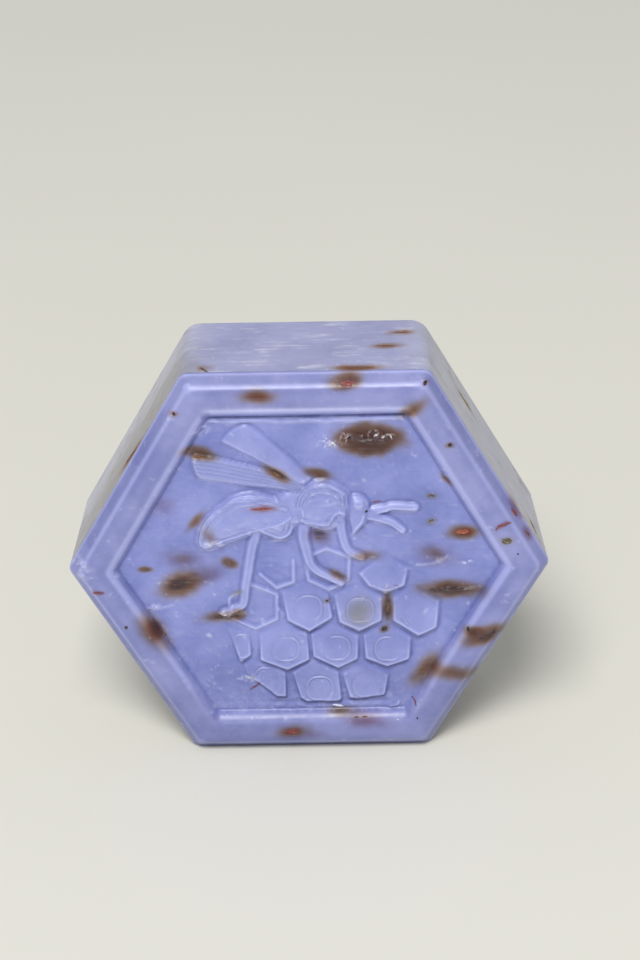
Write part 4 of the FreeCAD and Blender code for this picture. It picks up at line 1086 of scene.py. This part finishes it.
# ------------------------ leaf flakes and the soap crumb
# Broken bits of dried leaf lying flat in the surface, and one curl of soap torn off by the mould. A
# row: node, length, breadth, turn, how proud, how pinched its ends are.
LEAF = dried("dried_leaf", (0.05, 0.038, 0.03), (0.14, 0.112, 0.084), (0.25, 0.205, 0.165),
             1.5, 0.65, 0.25)
CRUMB = dried("soap_crumb", (0.52, 0.53, 0.76), (0.7, 0.71, 0.86), (0.86, 0.86, 0.92), 2.0, 0.5, 0.4)
SEED_COAT = dried("dark_seed", (0.008, 0.008, 0.01), (0.02, 0.019, 0.024), (0.06, 0.055, 0.05),
                  1.2, 0.4, 0.5)
FLAKES = [
    ("flake_right_upper", 1.7, 0.7, -12, 0.05, 0.1), ("flake_right_lower", 1.4, 0.6, 30, 0.05, 0.1),
    ("flake_rim_right", 2.1, 1.5, 4, 0.05, 0), ("flake_white", 2.1, 0.5, -12, 0.16, 0.3),
    ("flake_rim_left", 0.8, 0.9, 20, 0.05, 0.1), ("flake_panel_left", 1.6, 0.3, 0, 0.05, 0.3),
    ("flake_bee_leg", 1.6, 0.45, -35, 0.05, 0.3), ("flake_wall_top", 3, 0.7, 62, 0.06, 0.3),
]
for number, (name, length, breadth, turn, proud, pinch) in enumerate(FLAKES):
    skin = {"dried_leaf": LEAF, "soap_crumb": CRUMB, "dark_seed": SEED_COAT}[SLOTS[name]]
    scrap(name, length, breadth, turn, proud, 0.20, 0.03, skin, 900 + SEED_STEP * number, pinch)


# ------------------------ seeds
# Specks of seed and ground spice: small round bodies, half sunk. A row: node, width.
SEEDS = [
    ("seed_eye", 0.55), ("seed_cell", 0.4), ("seed_panel_lower_right", 0.9),
    ("seed_rim_top_right", 0.6), ("seed_rim_upper_right", 0.7), ("seed_rim_right", 0.35),
    ("seed_rim_lower_right", 0.8), ("seed_rim_bottom_right", 0.4), ("seed_rim_upper_left", 0.6),
]
for number, (name, width) in enumerate(SEEDS):
    proud = 0.10 * width + 0.05
    scrap(name, width * 1.15, width, 17 * number, proud, 0.16, 0.04, SEED_COAT,
          1100 + SEED_STEP * number, pinch=0.0)


# ------------------------ fibres
# Dried stamens: thin threads that lie in the surface along a bow. A row: node, length, bow, turn,
# thickness.
def thread(name, length, bow, turn, thick, material, seed):
    """Closed tube along a bowed line on the soap.

    The line is a parabola with a slight wander, the tube's half thickness falls to nothing at its
    ends by the square root of the distance from them, and it lies half sunk.
    """
    steps, around, half_sunk = 41, 8, 0.25 * thick
    share = np.linspace(-1, 1, steps)[1:-1]
    s, t = np.meshgrid(share, np.linspace(0, 2 * math.pi, around, endpoint=False), indexing="ij")
    half = thick / 2 * np.clip(1 - s ** 2, 0.02, 1) ** 0.5
    s, t = np.append(s.ravel(), [-1.0, 1.0]), np.append(t.ravel(), [0, 0])
    half = np.append(half.ravel(), [0, 0])
    u = length / 2 * s
    bowed = bow * (0.5 - s ** 2) + 0.12 * unevenness(u, u * 0, 0.6, seed)
    v, lift = bowed - half * np.cos(t), half_sunk + half * np.sin(t)
    plant_piece(name, len(share), turn, u, v, lift, material)


FIBRES = [
    ("fibre_rim_right", 3, 0.5, 24, 0.34), ("fibre_rim_left", 2, 0.12, 4, 0.28),
    ("fibre_comb_left", 2.4, 0.3, 30, 0.22), ("fibre_rim_lower", 1.5, 0.35, -55, 0.26),
]
for number, (name, length, bow, turn, thick) in enumerate(FIBRES):
    thread(name, length, bow, turn, thick, RED_PETAL, 1300 + SEED_STEP * number)


# ------------------------ floor, light and camera
# A plain pale studio floor, a large soft light high in front, a small unseen one low in front that
# stands for light off the table, and a long lens that looks down on the front.
def pale_floor():
    """Square floor with a faint, soft unevenness of tone."""
    mesh = bpy.data.meshes.new("pale_floor")
    half = 3.0
    corners = [(-half, -half, 0), (half, -half, 0), (half, half, 0), (-half, half, 0)]
    mesh.from_pydata(corners, [], [(0, 1, 2, 3)])
    floor = bpy.data.objects.new("pale_floor", mesh)
    bpy.context.scene.collection.objects.link(floor)
    material, tree, shader = new_material("pale_floor")
    place = add(tree, "ShaderNodeTexCoord").outputs["Object"]
    tone = mixed(tree, noise(tree, place, 6, 2), (0.600, 0.592, 0.530), (0.635, 0.626, 0.565))
    tree.links.new(tone, shader.inputs["Base Color"])
    shader.inputs["Roughness"].default_value = 0.6
    mesh.materials.append(material)


def soft_light(name, place, aim, size, power, colour, spread=180, hidden=False):
    """Square area light that faces a point. A hidden one lights the bar but isn't seen itself."""
    lamp = bpy.data.lights.new(name, "AREA")
    lamp.shape, lamp.size, lamp.energy, lamp.color = "SQUARE", size, power, colour
    lamp.spread = math.radians(spread)
    held = bpy.data.objects.new(name, lamp)
    held.location = place
    held.visible_camera = not hidden
    held.rotation_euler = (Vector(aim) - Vector(place)).to_track_quat("-Z", "Y").to_euler()
    bpy.context.scene.collection.objects.link(held)


def long_lens():
    """Long lens above the front. Its axes come from its turn, its dip and its roll."""
    turn, dip, roll = math.radians(-0.2233), math.radians(27.351), math.radians(1.0033)
    ahead = Vector((math.sin(turn) * math.cos(dip), math.cos(turn) * math.cos(dip), -math.sin(dip)))
    level = Vector((math.cos(turn), -math.sin(turn), 0))
    below = ahead.cross(level)
    right = level * math.cos(roll) + below * math.sin(roll)
    down = below * math.cos(roll) - level * math.sin(roll)
    camera = bpy.data.cameras.new("camera")
    camera.lens, camera.sensor_width, camera.clip_start = 103.42, 36.0, 0.01
    held = bpy.data.objects.new("camera", camera)
    held.matrix_world = Matrix((right, -down, -ahead)).transposed().to_4x4()
    held.location = (0.00364, -0.41127, 0.25734)
    bpy.context.scene.collection.objects.link(held)
    bpy.context.scene.camera = held


pale_floor()
SOFT_WHITE = (1.0, 0.99, 0.97)
soft_light("softbox", (-0.26, -1.23, 1.80), aim=(0, 0, 0.03), size=0.90, power=48.0, colour=SOFT_WHITE)
soft_light("bounce", (0.0, -0.067, 0.034), aim=(0, -0.017, 0.1206), size=0.11, power=0.018,
           colour=SOFT_WHITE, spread=50, hidden=True)
world = bpy.data.worlds.new("studio")
world.use_nodes = True
sky = world.node_tree.nodes["Background"]
sky.inputs["Color"].default_value = (0.95, 0.96, 1.0, 1)
sky.inputs["Strength"].default_value = 0.48
bpy.context.scene.world = world
bpy.context.scene.view_settings.view_transform = "Standard"
long_lens()
